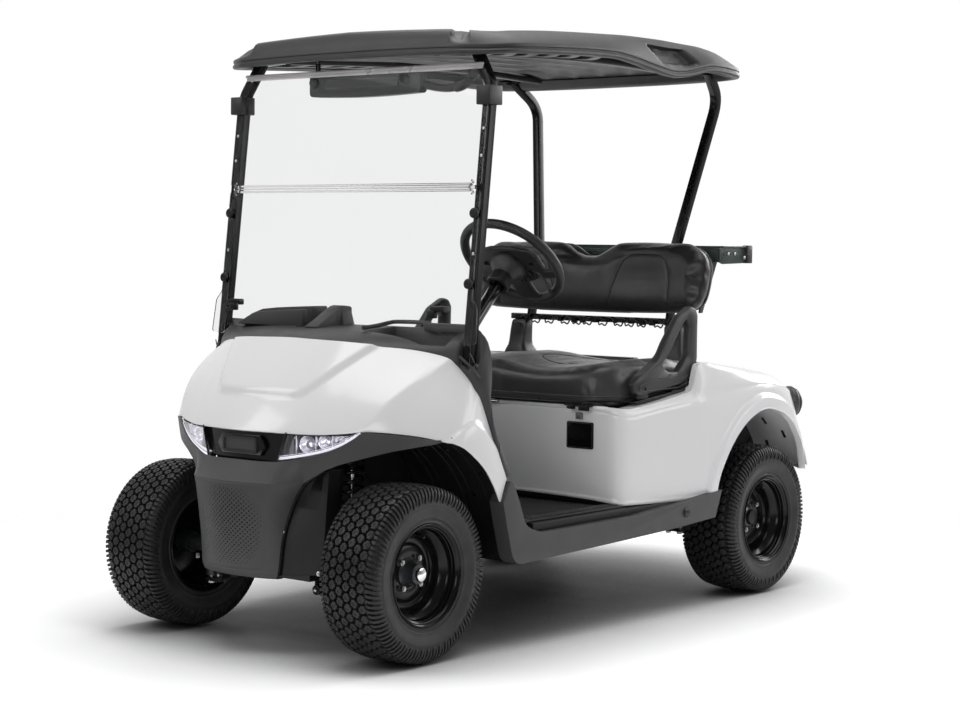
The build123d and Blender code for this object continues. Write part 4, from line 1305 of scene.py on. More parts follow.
def rail_parts():
    bars = join(*[rod((-460, screen_y(z) + 1, z), (460, screen_y(z) + 1, z), r, 14, 0.6)
                  for z, r in ((1295.5, 3.6), (1304, 2.4), (1312.5, 3.6))])
    y = screen_y(1304)
    web = box(-460, 460, y + 0.5, y + 3.5, 1296, 1312, 0.5, 1)
    ends = []
    for side in (1, -1):
        for z, middle, tip in ((1290, 1297, 1285.1), (1318, 1311, 1322.9)):
            hook = [(side * 455, y, 1304), (side * 466, y - 4, middle), (side * 474, y - 4, z),
                    (side * 466, y - 3, tip)]
            ends.append(tube(curve_through(hook, 16), 3.2, 8))
        ends.append(box(side * 468 - 9, side * 468 + 9, y - 5, y + 6, 1298, 1310))
    # the strip along the upper pane's top is near-white: painted highlight
    y = screen_y(1652)
    top = join(rod((-468, y, 1650), (468, y, 1650), 4.5, 14, 1),
               box(-466, 466, y - 1, y + 4, 1636, 1650, 0.8, 1))
    return [(bars, pane_edge), (web, clear_pane), (join(*ends), pane_edge), (top, painted_highlight_strip)]


put("windscreen_hinge_rail", rail_parts(), "chassis", "windscreen_rail", smooth=34)


# ---------------------------------------------------------------- struts
def strut(points, radius, size, up):
    return sweep(rounded(points, radius, 14, closed=False), box_section(size, size, 4.5, 4), up)


def knob(x, z):
    return lathe([(-16, 6), (0, 7), (0.5, 13), (2, 14.5), (7, 14.5), (9, 13), (9.5, 8), (7.5, 6.5),
                  (7.5, 0.2)], (x, screen_y(z) - 1, z), (0, -1, 0.11), 28)


front_strut = strut([(488.5, -720.5, 805), (486, -633, 1590), (425, -622, 1690)], 70, 30,
                    (0, -1, 0))
fittings, knobs, bolts = [], [], []
for side in (1, -1):
    # clamp blocks that hold the raised pane, and the knobs and bolts through its edge
    y = screen_y(1560)
    fittings.append(box(side * 488 - 25, side * 488 + 25, y - 14, y + 44, 1534, 1588, 3, 2))
    fittings.append(box(side * 462 - 8, side * 462 + 8, y + 8, y + 30, 1536, 1586, 2, 2))
    knobs += [knob(side * 484, z) for z in (1231, 1034)]
    bolts += [rod((side * 486, strut_y(z) - 16, z), (side * 486, strut_y(z) - 20, z), 5, 6, 1)
              for z in (1118, 1392, 1468)]
put("front_struts_square_tube", [(both_sides(front_strut), black_steel),
                                 (join(*fittings), trim_plastic), (join(*knobs), black_plastic),
                                 (join(*bolts), zinc_steel)], "chassis",
    "front_struts", smooth=36)
put("windscreen_clips", [(clips, black_plastic)], "chassis", smooth=30)

rear_strut = strut([(260, 585, 1000), (377, 712, 1636), (408, 604, 1722)], 90, 29, (0, 1, 0))
plates = []
for side in (1, -1):
    plates.append(box(side * 408 - 30, side * 408 + 30, 560, 640, 1714, 1722, 2, 1))
    plates += [rod((side * 408, y, 1706), (side * 408, y, 1716), 7, 6, 1.5) for y in (575, 628)]
    plates.append(rod((side * 318, 630, 1240), (side * 318, 634, 1240), 5, 12, 0.5))
put("rear_struts_square_tube", [(both_sides(rear_strut), black_steel),
                                (join(*plates), black_steel)], "chassis",
    "rear_struts", smooth=36)


# ---------------------------------------------------------------- roof
# stations round the left half from front centre to rear centre:
# lip x, y, z and the crease above it x, y, z
ROOF_RING = [(0, -722, 1679, 0, -694, 1757), (150, -721, 1679, 150, -693, 1754),
             (300, -718, 1677, 300, -691, 1749), (400, -713, 1675, 392, -688, 1745),
             (448, -705, 1674, 428, -680, 1742), (505, -672, 1674, 468, -652, 1739),
             (540, -620, 1678, 492, -615, 1740), (552, -560, 1682, 500, -560, 1746),
             (556, -431, 1690, 503, -431, 1757), (556, -343, 1695, 503, -343, 1763),
             (556, -240, 1700, 503, -240, 1769), (556, -121, 1702, 503, -121, 1775),
             (556, -20, 1694, 503, -20, 1780), (556, 74, 1681, 503, 74, 1782),
             (556, 176, 1669, 503, 176, 1783), (556, 240, 1672, 503, 240, 1782),
             (556, 300, 1681, 502, 300, 1781), (556, 385, 1698, 501, 385, 1780),
             (556, 450, 1701, 498, 440, 1777), (552, 530, 1698, 490, 505, 1772),
             (538, 588, 1696, 474, 548, 1763), (505, 630, 1694, 452, 588, 1754),
             (440, 650, 1692, 418, 610, 1749), (300, 661, 1690, 300, 624, 1749),
             (150, 665, 1689, 150, 629, 1751), (0, 666, 1689, 0, 630, 1752),]
LIP_PROFILE = [(50, 30), (38, 9), (28, 1), (14, -2), (4, -0.5), (0, 4), (0.4, 9), (4, 13),
               (4.5, 16), (2, 19), (2.2, 24), (5, 28)]
GUTTER_X, GUTTER_HALF = 412.0, 27.0
ROOF_STEPS, ROOF_FACE, ROOF_TOP, ROOF_MIDDLE = 9, 11, 26, -40


def gutter(x, y, side):
    # the rain gutter that runs back from the notch in the front edge;
    # on the right the roof falls away at the front corner
    if side < 0 and y < -600 and abs(x) > GUTTER_X:
        return 30 * smooth_step((-600 - y) / 60)
    across = 1 - ((abs(x) - GUTTER_X) / GUTTER_HALF) ** 2
    if across <= 0:
        return 0.0
    deep = table([-720, -690, -560, 480, 600], [30, 30, 9, 9, 4], y)
    return deep * across ** 0.6


def scoop_depth(y, z):
    # the pocket pressed into the side face near the rear
    top, low = 1760.0, 1706.0
    f = (z - low) / (top - low)
    front = 128 + (72 - 128) * f
    rear = 359 + (292 - 359) * f
    inside = min((y - front) / 14, (rear - y) / 46, (z - low) / 8, (top - z) / 9)
    return 24 * smooth_step(inside)


def roof_top_z(x, y, edge_z, t):
    # t is 1 at the crease and 0 at the middle
    crown = table([-700, -200, 200, 640], [1762, 1783, 1790, 1762], y)
    z = edge_z + (crown - edge_z) * (1 - t * t)
    panel = min((330 - abs(x)) / 16, (560 - y) / 24, (y + 600) / 24)
    z += 4.0 * (smooth_step(panel) - 0.5)
    for rib in (-200, 0, 200):
        near = 1 - abs(x - rib) / 20
        z += 4.0 * smooth_step(near) * smooth_step(min((500 - y) / 30, (y + 540) / 30))
    return min(z, 1789.5)


def roof_half(side):
    total = (len(ROOF_RING) - 1) * ROOF_STEPS
    lips = spline([r[:3] for r in ROOF_RING], total)
    creases = spline([r[3:] for r in ROOF_RING], total)
    stations = []
    for i, pair in enumerate(zip(lips, creases)):
        stations.append(pair)
        if 2 * ROOF_STEPS <= i < 5 * ROOF_STEPS:
            stations.append(((lips[i] + lips[i + 1]) / 2, (creases[i] + creases[i + 1]) / 2))
    rows = []
    for lip, crease in stations:
        crease = crease.copy()
        crease.z -= gutter(crease.x, crease.y, side)
        inward = Vector((crease.x - lip.x, crease.y - lip.y, 0))
        inward = inward.normalized() if inward.length > 1 else Vector(
            (0, 1 if lip.y < 0 else -1, 0))
        row = [Vector((lip.x, lip.y, lip.z + dz)) + inward * d for d, dz in LIP_PROFILE]
        start = row[-1].copy()
        for k in range(1, ROOF_FACE + 1):
            t = k / ROOF_FACE
            p = start.lerp(crease, t)
            p += Vector((-inward.x, -inward.y, 0.4)).normalized() * 3.5 * math.sin(math.pi * t)
            if abs(lip.x) > 500:
                p += inward * scoop_depth(p.y, p.z)
            row.append(p)
        row[-1] = row[-1] + inward * 1.5 - Vector((0, 0, 1.5))
        row.append(Vector((crease.x + inward.x * 5, crease.y + inward.y * 5, crease.z + 1.0)))
        edge_z = crease.z + gutter(crease.x, crease.y, side)
        for k in range(2, ROOF_TOP):
            t = 1 - k / ROOF_TOP
            x, y = crease.x * t, ROOF_MIDDLE + (crease.y - ROOF_MIDDLE) * t
            row.append(Vector((x, y, roof_top_z(x, y, edge_z, t) - gutter(x, y, side))))
        row.append(Vector((0, ROOF_MIDDLE, roof_top_z(0, ROOF_MIDDLE, 1780, 0))))
        rows.append(row)
    for p in rows[0] + rows[-1]:
        p.x = 0.0
    return grid(rows)


def ceiling_z(y):
    # the middle of the ceiling
    return table([-660, -560, -200, 480, 640], [1700, 1708, 1731, 1744, 1722], y)


def roof_ceiling():
    rows = []
    for k in range(65):
        y = -690 + 1334 * k / 64
        half = table([-690, -660, -600, 560, 620, 644], [380, 450, 505, 505, 470, 420], y)
        row = []
        for i in range(61):
            x = -half + 2 * half * i / 60
            z = ceiling_z(y)
            for rib in (0, 118, 236):
                z -= 9 * smooth_step(1.6 - abs(abs(x) - rib) / 11) * smooth_step(
                    min((y + 600) / 40, (600 - y) / 30))
            z -= (1 - smooth_step(min((half - abs(x)) / 26, 1.0))) * 16
            row.append((x, y, z))
        rows.append(row)
    return grid(rows)


def louvres():
    fins, pockets = [], []
    for k in range(6):
        y = -598 + k * 104
        z = ceiling_z(y)
        fins.append(bent([(488, y + 6, z - 13), (440, y + 20, z - 15), (390, y + 52, z - 17),
                          (340, y + 70, z - 14), (296, y + 76, z - 9)], 18,
                         box_section(30, 9, 4, 3)))
        hole = [(478, y + 32), (438, y + 44), (398, y + 72), (352, y + 92), (330, y + 96),
                (330, y + 112), (392, y + 106), (440, y + 94), (478, y + 84)]
        pockets.append(prism(rounded(hole, 7, 3), z - 7, z - 3, "xy", 0.8, 1))
    side = bent([(496, -640, 1692), (498, -300, 1712), (498, 0, 1722), (498, 300, 1722),
                 (494, 600, 1712)], 50, box_section(16, 26, 6, 4))
    keel = bent([(296, -640, 1690), (300, -200, 1716), (300, 200, 1726), (298, 610, 1718)], 50,
                box_section(26, 20, 7, 4))
    return on_both_sides((join(*fins), ceiling_plastic), (join(*pockets), gloss_black),
                         (side, ceiling_plastic), (keel, ceiling_plastic))


put("moulded_roof", [(join(roof_half(1), flip_x(roof_half(-1))), roof_plastic),
                     (thick(roof_ceiling(), 3, 0.8, 1), ceiling_plastic)] + louvres(),
    "chassis", "roof", smooth=33)
roof_bolts = join(*[rod((x, y, 1688), (x, y, 1702), 7, 6, 1.4) for x in (-425, 425)
                    for y in (-600, -645)])
cross_tube = bent([(-428, -622, 1694), (-200, -622, 1704), (0, -622, 1706), (200, -622, 1704),
                   (428, -622, 1694)], 40, box_section(26, 26, 4, 3))
put("roof_frame", [(cross_tube, black_steel), (roof_bolts, zinc_steel)], "chassis",
    smooth=34)

# ---------------------------------------------------------------- mirror
mirror_glass = material("mirror_glass", (0.82, 0.84, 0.86), 0.03, 1.0, mottle=(3, 0.02),
                        rough_vary=(10, 0.01))


def mirror_parts():
    low = [(-218 + 436 * k / 16, 1580 - 6 * math.sin(math.pi * k / 16)) for k in range(17)]
    high = [(218 - 436 * k / 16, 1646 + 4 * math.sin(math.pi * k / 16)) for k in range(17)]
    outline = rounded(low + high, [14] + [1] * 15 + [14, 14] + [1] * 15 + [14], 5)
    case = shifted(prism(outline, -636, -604, "xz", 8, 4), 8)
    inner = rounded([(-150, 1600), (140, 1600), (150, 1630), (-140, 1630)], 13, 5)
    dish = sweep([(x, -637, z) for x, z in inner], box_section(7, 5, 2, 2), up=(0, -1, 0),
                 closed=True)
    dish_back = prism(inner, -638.5, -634, "xz", 1, 1)
    glass = prism(plate(-208, 208, 1588, 1640, 12, 5), -604, -601.5, "xz", 0.6, 1)
    balls = join(lathe([(0, 16), (10, 16), (17, 12), (20, 6), (20.5, 0.2)], (168, -634, 1621),
                       (0, -1, 0.1), 28), lathe([(0, 16), (8, 16), (13, 12), (15, 6), (15.5, 0.2)],
                                                (-190, -634, 1621), (0, -1, 0.1), 28))
    arm = tube(curve_through([(170, -620, 1622), (214, -618, 1606), (260, -616, 1594),
                              (320, -616, 1588), (372, -618, 1596), (404, -622, 1612),
                              (436, -636, 1640), (440, -632, 1664)], 60), 11, 16)
    cuff = tube(curve_through([(346, -617, 1590), (372, -618, 1596), (404, -622, 1612)], 12), 15,
                20)
    stay = tube(curve_through([(-190, -620, 1640), (-190, -622, 1672), (-190, -622, 1700)], 12), 8,
                12)
    return [(case, trim_plastic), (dish, trim_plastic), (dish_back, gloss_black),
            (glass, mirror_glass), (balls, trim_plastic), (arm, black_steel), (cuff, black_plastic),
            (stay, black_steel)]


put("cabin_mirror_and_arm", mirror_parts(), "chassis", "cabin_mirror", smooth=36)


# ---------------------------------------------------------------- rear body
# stations from the middle of the front panel round the side to the end of the tail: bottom edge,
# middle, crease, top edge, crown of the deck, inner edge, and how far round the wall faces, in
# degrees
BODY_STATIONS = [
    ((0, -50, 373), (0, -50, 510), (0, -50, 640), (0, -49, 655), (0, -45, 656), (0, -41, 656), 0),
    ((220, -50, 372), (220, -50, 510), (220, -50, 640), (220, -49, 655),
     (220, -45, 656), (220, -41, 656), 0),
    ((400, -50, 368), (400, -50, 510), (400, -50, 639), (400, -49, 655),
     (400, -45, 656), (400, -41, 656), 0),
    ((470, -50, 364), (470, -50, 510), (470, -50, 636), (470, -49, 655),
     (469, -45, 656), (466, -41, 656), 4),
    ((502, -47, 361), (502, -47, 508), (501, -47, 631), (498, -46, 653),
     (494, -41, 654), (484, -37, 654), 16),
    ((522, -38, 358), (523, -38, 506), (521, -38, 626), (517, -37, 651),
     (510, -32, 652), (490, -24, 652), 34),
    ((536, -20, 356), (538, -20, 504), (535, -20, 622), (530, -19, 649),
     (522, -15, 650), (491, -10, 650), 52),
    ((543, 12, 355), (547, 12, 503), (544, 12, 621), (537, 12, 648),
     (528, 12, 650), (490, 10, 650), 72),
    ((547, 66, 353), (552, 66, 505), (549, 66, 628), (541, 66, 653),
     (532, 66, 655), (490, 60, 655), 84),
    ((551, 160, 350), (558, 160, 510), (555, 160, 640), (546, 160, 664),
     (536, 160, 666), (490, 160, 666), 90),
    ((558, 250, 348), (566, 240, 514), (562, 232, 648), (548, 228, 674),
     (538, 228, 676), (490, 228, 676), 90),
    ((565, 340, 346), (574, 320, 518), (567, 290, 654), (549, 280, 682),
     (539, 280, 683), (490, 280, 683), 90),
    ((570, 395, 346), (578, 356, 520), (570, 316, 657), (549, 308, 686),
     (540, 308, 687), (490, 308, 686), 90),
    ((572, 420, 346), (580, 374, 522), (571, 334, 659), (549, 322, 691),
     (541, 322, 692), (500, 322, 690), 90),
    ((573, 430, 347), (581, 384, 523), (572, 347, 660), (549, 333, 710),
     (541, 333, 711), (534, 333, 711), 90),
    ((575, 431, 360), (582, 391, 528), (573, 360, 662), (551, 342, 745),
     (542, 342, 746), (534, 342, 746), 90),
    ((577, 432, 379), (583, 400, 536), (574, 378, 664), (554, 351, 771),
     (543, 351, 773), (534, 351, 773), 90),
    ((579, 438, 404), (584, 414, 548), (575, 402, 667), (557, 378, 776),
     (541, 378, 779), (534, 378, 778), 90),
    ((581, 449, 431), (585, 430, 560), (576, 428, 669), (558, 428, 769),
     (528, 428, 778), (500, 428, 776), 90),
    ((584, 470, 468), (586, 455, 578), (577, 456, 672), (559, 458, 764),
     (500, 458, 772), (378, 458, 774), 90),
    ((586, 493, 500), (587, 482, 595), (577, 486, 675), (560, 490, 759),
     (502, 490, 769), (378, 490, 773), 90),
    ((588, 532, 541), (588, 528, 615), (578, 530, 679), (561, 534, 752),
     (503, 534, 764), (378, 534, 770), 90),
    ((590, 586, 581), (588, 584, 636), (578, 586, 684), (562, 588, 743),
     (504, 588, 757), (378, 588, 765), 90),
    ((592, 654, 610), (588, 652, 652), (578, 650, 690), (563, 650, 730),
     (505, 652, 750), (378, 652, 759), 90),
    ((592, 710, 617), (588, 708, 657), (578, 704, 694), (564, 704, 715),
     (505, 704, 744), (378, 704, 753), 90),
    ((592, 782, 605), (587, 780, 651), (577, 776, 691), (565, 774, 703),
     (504, 778, 735), (378, 786, 743), 90),
    ((590, 841, 583), (583, 838, 640), (572, 830, 684), (561, 826, 696),
     (500, 838, 726), (378, 856, 731), 90),
    ((588, 888, 549), (579, 882, 622), (565, 872, 677), (554, 866, 689),
     (493, 888, 716), (378, 916, 718), 91),
    ((587, 937, 489), (575, 920, 590), (557, 902, 671), (546, 894, 682),
     (481, 928, 706), (378, 962, 704), 93),
    ((587, 957, 428), (572, 944, 556), (549, 924, 666), (538, 914, 677),
     (470, 952, 698), (378, 990, 694), 96),
    ((587, 962, 400), (568, 960, 540), (542, 942, 661), (530, 932, 671),
     (460, 972, 690), (378, 1008, 687), 102),
    ((578, 976, 397), (557, 982, 536), (531, 962, 655), (517, 954, 665),
     (447, 992, 682), (378, 1020, 681), 112),
    ((558, 1001, 396), (540, 1006, 534), (514, 988, 647), (499, 980, 657),
     (430, 1014, 673), (378, 1032, 674), 122),
    ((532, 1034, 394), (515, 1036, 532), (488, 1020, 638), (472, 1012, 648),
     (410, 1034, 664), (378, 1044, 666), 136),
    ((498, 1068, 393), (482, 1065, 532), (454, 1048, 630), (439, 1040, 641),
     (396, 1050, 655), (378, 1054, 658), 152),
    ((438, 1098, 391), (430, 1088, 530), (412, 1067, 624), (404, 1058, 637),
     (386, 1060, 648), (378, 1061, 652), 168),
    ((378, 1114, 390), (378, 1099, 530), (378, 1077, 622), (378, 1067, 635),
     (378, 1066, 645), (378, 1065, 650), 176),
]
ARCH_EDGE = [(432, 379), (438, 404), (449, 431), (470, 468), (493, 500), (532, 541), (586, 581),
             (654, 610), (710, 617), (782, 605), (841, 583), (888, 549), (937, 489), (957, 428),
             (962, 400)]
ARCH_STATIONS = (12, 33)
WALL_ROWS = [0.0, 2.5, 6.0, 9.0, 12.0, 16.0]
BODY_STEPS = 6
FAR = 1e9


ARCH_FINE = [(p.x, p.y) for p in curve_through([(y, z, 0) for y, z in [(431, 346)] + ARCH_EDGE],
                                               160)]


def from_arch(y, z):
    # the squared distance to each short piece of the arch's edge, then the least as a length
    best = FAR
    for (ay, az), (by, bz) in zip(ARCH_FINE, ARCH_FINE[1:]):
        dy, dz = by - ay, bz - az
        f = ((y - ay) * dy + (z - az) * dz) / (dy * dy + dz * dz)
        f = max(0.0, min(1.0, f))
        best = min(best, (y - ay - f * dy) ** 2 + (z - az - f * dz) ** 2)
    return best ** 0.5


def flare(d):
    # how far the arch rim stands out, by distance from the arch edge
    return (smooth_step(d / 7.0) * 4.0 + 9.0) * (1 - smooth_step((d - 36.0) / 17.0))


def rim_bead(d):
    # the rolled bead along the wall's lower edge
    return 2.4 * (1 - smooth_step((d - 7.0) / 4.0)) - 2.2 * (1 - smooth_step(d / 3.5))


def body_half():
    total = (len(BODY_STATIONS) - 1) * BODY_STEPS
    columns = [spline([s[k] for s in BODY_STATIONS], total) for k in range(6)]
    angles = [p.x for p in spline([(s[6], 0, 0) for s in BODY_STATIONS], total)]
    rows = []
    first_arch, last_arch = (station * BODY_STEPS for station in ARCH_STATIONS)
    for i, angle in enumerate(angles):
        low, mid, crease, top, crown, inner = [c[i] for c in columns]
        a = math.radians(angle)
        out = Vector((math.sin(a), -math.cos(a), 0))
        height = (crease - low).length
        fractions = [d / height for d in WALL_ROWS] + [16 / height + (1 - 16 / height) * k / 26
                                                       for k in range(1, 27)]
        row = [low - out * 15, low - out * 6]
        for f in fractions:
            p = low * (1 - f) * (1 - 2 * f) + mid * 4 * f * (1 - f) + crease * f * (2 * f - 1)
            distance = f * height
            arch = from_arch(p.y, p.z) if first_arch <= i <= last_arch else FAR
            push = flare(arch) if arch < 60 else 0.0
            if arch < 60 and p.y > 880:
                push = 9 * (1 - smooth_step((arch - 18) / 24)) * (1 - smooth_step((p.y - 962) / 26))
            if i < first_arch or i > last_arch or (i <= 16 * BODY_STEPS and arch > distance + 3):
                push += rim_bead(distance)
            row.append(p + out * push)
        row.append(crease.lerp(top, 0.12) - out * 0.8)
        for k in range(1, 6):
            f = 0.12 + 0.88 * k / 6
            row.append(crease.lerp(top, f) + out * 2.0 * math.sin(math.pi * f))
        soft = (top - crease).length * 0.06 + 1.0
        row.append(top - Vector(UP) * min(soft, 2.0) + out * 0.4)
        row.append(top.lerp(crown, 0.04) + Vector((0, 0, 0.8)))
        for k in range(1, 9):
            f = k / 8
            row.append(top.lerp(crown, f) + Vector(UP) * 5.0 * math.sin(math.pi * f) * min(
                    (crown - top).length / 60, 1))
        span = (inner - crown).length
        for k in range(1, 10):
            f = k / 9
            row.append(crown.lerp(inner, f) + Vector(UP) * 2.0 * math.sin(math.pi * f) * min(
                    span / 100, 1))
        row.append(inner - Vector((0, 0, 9)))
        rows.append(row)
    return rows


half_rows = body_half()
whole_rows = [[Vector((-p.x, p.y, p.z)) for p in row]
              for row in reversed(half_rows[1:])] + half_rows
body_skin = thick(grid(whole_rows), 5.0, 1.0, 2)
shelf = both_sides(prism([(488, 286), (535, 286), (535, 434), (488, 434)], 676, 684, "xy", 1.5, 2))
pocket_wall = both_sides(prism([(325, 680), (432, 680), (432, 772), (352, 770), (343, 745),
                                (333, 708)], 529, 534, "yz", 1, 1))
pocket_end = both_sides(box(488, 534, 432, 437, 676, 774, 1, 1))
behind_line = [(432, 700), (432, 766), (435, 771), (445, 772), (520, 768), (600, 760),
               (684, 752), (690, 749), (691, 742), (691, 700)]
behind_seat = thick(grid([[(x, y, z) for x in (-379, -250, -120, 0, 120, 250, 379)]
                          for y, z in behind_line]), 4, 0.8, 2)
put("rear_body_shell", [(shape, white_paint) for shape in (body_skin, shelf, pocket_wall,
                                                           pocket_end, behind_seat)], "chassis",
    "rear_body", smooth=34)
socket_plate = prism(plate(337, 438, 522, 605, 7, 5), -53.5, -49, "xz", 1.2, 2)
socket_lip = sweep([(x, -53.6, z) for x, z in plate(341, 434, 526, 601, 6, 5)],
                   box_section(2.6, 1.4, 0.6, 2), up=(0, -1, 0), closed=True)
put("front_socket_cover", [(socket_plate, gloss_black), (socket_lip, trim_plastic)], "chassis",
    smooth=40)

latch = box(372, 398, -58, -50, 612, 634, 3, 3)
latch_cup = rod((385, -60, 623), (385, -52, 623), 6, 20, 1)
tray_strip = box(-215, 243, 431, 474, 700, 777, 5, 3)
tray_groove = box(-209, 237, 438, 468, 776, 778.6, 1, 1)
put("seat_latch_and_tray", [(latch, liner_plastic), (latch_cup, zinc_steel),
                            (tray_strip, trim_plastic), (tray_groove, gloss_black)], "chassis",
    smooth=36)

# ---------------------------------------------------------------- wheel liners, bagwell, tail
AXLE_Y, ARCH_Z = 715, 320


def on_arch(x, radius, degrees):
    a = math.radians(degrees)
    return Vector((x, AXLE_Y + radius * math.cos(a), ARCH_Z + radius * math.sin(a)))


def rear_liner(start, sweep_deg, reach):
    rows = []
    for k in range(49):
        a = math.radians(start + sweep_deg * k / 48)
        swell = 0.5 + 0.5 * math.cos(a * 12)
        row = []
        for j in range(15):
            r = reach + (3.0 * smooth_step(swell) if 2 < j < 12 else 0) - (3 if j in (0, 14) else 0)
            row.append((384 + (582 - 384) * j / 14, AXLE_Y + r * math.cos(a),
                        min(ARCH_Z + r * math.sin(a), 622)))
        rows.append(row)
    return thick(grid(rows), 3, 0.6, 1)


def liner_slot(x, degrees):
    a = math.radians(degrees)
    spot, along = on_arch(x, 300, degrees), Vector((0, -16 * math.sin(a), 16 * math.cos(a)))
    return sweep([spot + along, spot - along], box_section(9, 4, 1.5, 2),
                 up=(0, math.cos(a), math.sin(a)))


liner_wall = prism([on_arch(0, 303, degrees).yz for degrees in range(16, 174, 4)], 381, 385, "yz",
                   0.8, 1)
liner_ribs = join(*[sweep([on_arch(388, 290, degrees), on_arch(388, 170, degrees)],
                          box_section(10, 7, 2, 2), up=(1, 0, 0))
                    for degrees in (35, 62, 90, 118, 146)])
slots = join(*[prism(plate(y - 5, y + 5, z - 22, z + 22, 4, 3), 384.5, 387, "yz", 0.6, 1)
               for y, z in ((800, 520), (806, 450), (628, 470))],
             *[liner_slot(x, degrees) for degrees, x in ((52, 470), (40, 520), (30, 440))])
put("wheel_liners_rear", on_both_sides((rear_liner(78, 95, 303), trim_plastic),
                                       (rear_liner(17, 63, 304), inner_white),
                                       (liner_wall, trim_plastic), (liner_ribs, trim_plastic),
                                       (slots, gloss_black)), "chassis",
    "rear_wheel_liners", smooth=34)


def bagwell_parts():
    wall = [(692, 474), (1060, 474), (1062, 560), (1046, 650), (990, 688), (920, 712), (850, 728),
            (780, 738), (692, 744)]
    tub = join(box(-376, 376, 692, 1128, 470, 478, 3, 2), prism(wall, -376, -367, "yz", 2, 2),
               prism(wall, 367, 376, "yz", 2, 2), box(-376, 376, 692, 701, 474, 742, 2, 2))
    ribs = [box(k * 40 - 6, k * 40 + 6, 716, 1118, 476, 483, 2, 2) for k in range(-8, 9)]
    ribs += [box(k * 80 - 5, k * 80 + 5, 699, 706, 500, 720, 2, 2) for k in range(-4, 5)]
    ribs += [box(side * 364 - 4, side * 364 + 4, y - 5, y + 5, 500, 690, 2, 2)
             for side in (-1, 1) for y in (760, 820, 880, 940)]
    lip = sweep([(-372, 1128, 474), (-372, 1130, 500), (372, 1130, 500), (372, 1128, 474)],
                box_section(8, 10, 3, 2), up=(0, 1, 0))
    cups = join(*[ring((x, 860, 484), UP, 118, 5, 56, 10) for x in (-185, 185)])
    return [(tub, black_plastic), (join(*ribs), black_plastic), (lip, trim_plastic),
            (cups, mat_rubber)]


put("bagwell_tub", bagwell_parts(), "chassis", "bagwell", smooth=36)
tail_plastic = material("tail_plastic", (0.062, 0.062, 0.064), 0.36, mottle=(8, 0.12), grain=PEBBLE)


def tail_lamp(side):
    place = Vector((side * 458, 1030, 612)), Vector((side * 0.46, 0.88, 0.02)).normalized(), 56
    body = lathe([(0, 0.5), (0, 50), (14, 53), (34, 53), (44, 50), (56, 44), (66, 33), (72, 19),
                  (74, 1)], *place)
    bezel = lathe([(26, 53.5), (30, 56), (38, 56), (42, 53)], *place, close=True)
    lens_ring = lathe([(50, 47.5), (52, 48.5), (55, 46.5), (53.5, 45.5)], *place, close=True)
    return [(body, tail_plastic), (bezel, tail_plastic), (lens_ring, trim_plastic)]


put("tail_lamps_round", tail_lamp(-1) + tail_lamp(1), "chassis", "tail_lamps",
    smooth=36)
# ---------------------------------------------------------------- padded seats
PAD_RINGS = 9
PUFF_FRAMES = 20
DOWN, REARWARD = Vector((0, 0, -1)), Vector((0, 1, 0))


def pad_form(outline, profile, place):
    # a closed cushion: rings of the outline from the middle of its back to the middle of its front;
    # profile pairs are (inset, depth)
    n = len(outline)
    loop = [Vector(p) for p in outline]
    centre = sum(loop, Vector((0, 0))) / n
    inward = []
    for i, p in enumerate(loop):
        along = (loop[(i + 2) % n] - loop[i - 2]).normalized()
        side = Vector((-along.y, along.x))
        inward.append(side if side.dot(centre - p) > 0 else -side)
    points, faces = grid([[place(*(p + d * inset), depth) for p, d in zip(loop, inward)]
                          for inset, depth in profile], close_cols=True)
    faces = [(a, d, c, b) for a, b, c, d in faces]
    for start, (inset, depth), flip in ((0, profile[0], True),
                                        (len(points) - n, profile[-1], False)):
        last = list(range(start, start + n))
        for k in range(1, PAD_RINGS):
            new = list(range(len(points), len(points) + n))
            for p, d in zip(loop, inward):
                q = centre + (p + d * inset - centre) * (1 - k / PAD_RINGS)
                points.append(place(q.x, q.y, depth))
            quads = [(last[i], last[(i + 1) % n], new[(i + 1) % n], new[i]) for i in range(n)]
            faces += [tuple(reversed(quad)) if flip else quad for quad in quads]
            last = new
        tris = [(last[i], last[(i + 1) % n], len(points)) for i in range(n)]
        faces += [tuple(reversed(tri)) if flip else tri for tri in tris]
        points.append(place(centre.x, centre.y, depth))
    return points, faces


def remeshed(shape, voxel):
    # the shape as an even mesh, lightly relaxed
    mesh = bpy.data.meshes.new("pad")
    mesh.from_pydata([p * MM for p in shape[0]], [], shape[1])
    pad = bpy.data.objects.new("pad", mesh)
    bpy.context.scene.collection.objects.link(pad)
    mod = pad.modifiers.new("remesh", "REMESH")
    mod.mode, mod.voxel_size = "VOXEL", voxel * MM
    relax = pad.modifiers.new("relax", "SMOOTH")
    relax.factor, relax.iterations = 0.5, 4
    solid = bpy.data.meshes.new_from_object(pad.evaluated_get(
            bpy.context.evaluated_depsgraph_get()))
    bpy.data.objects.remove(pad)
    return solid


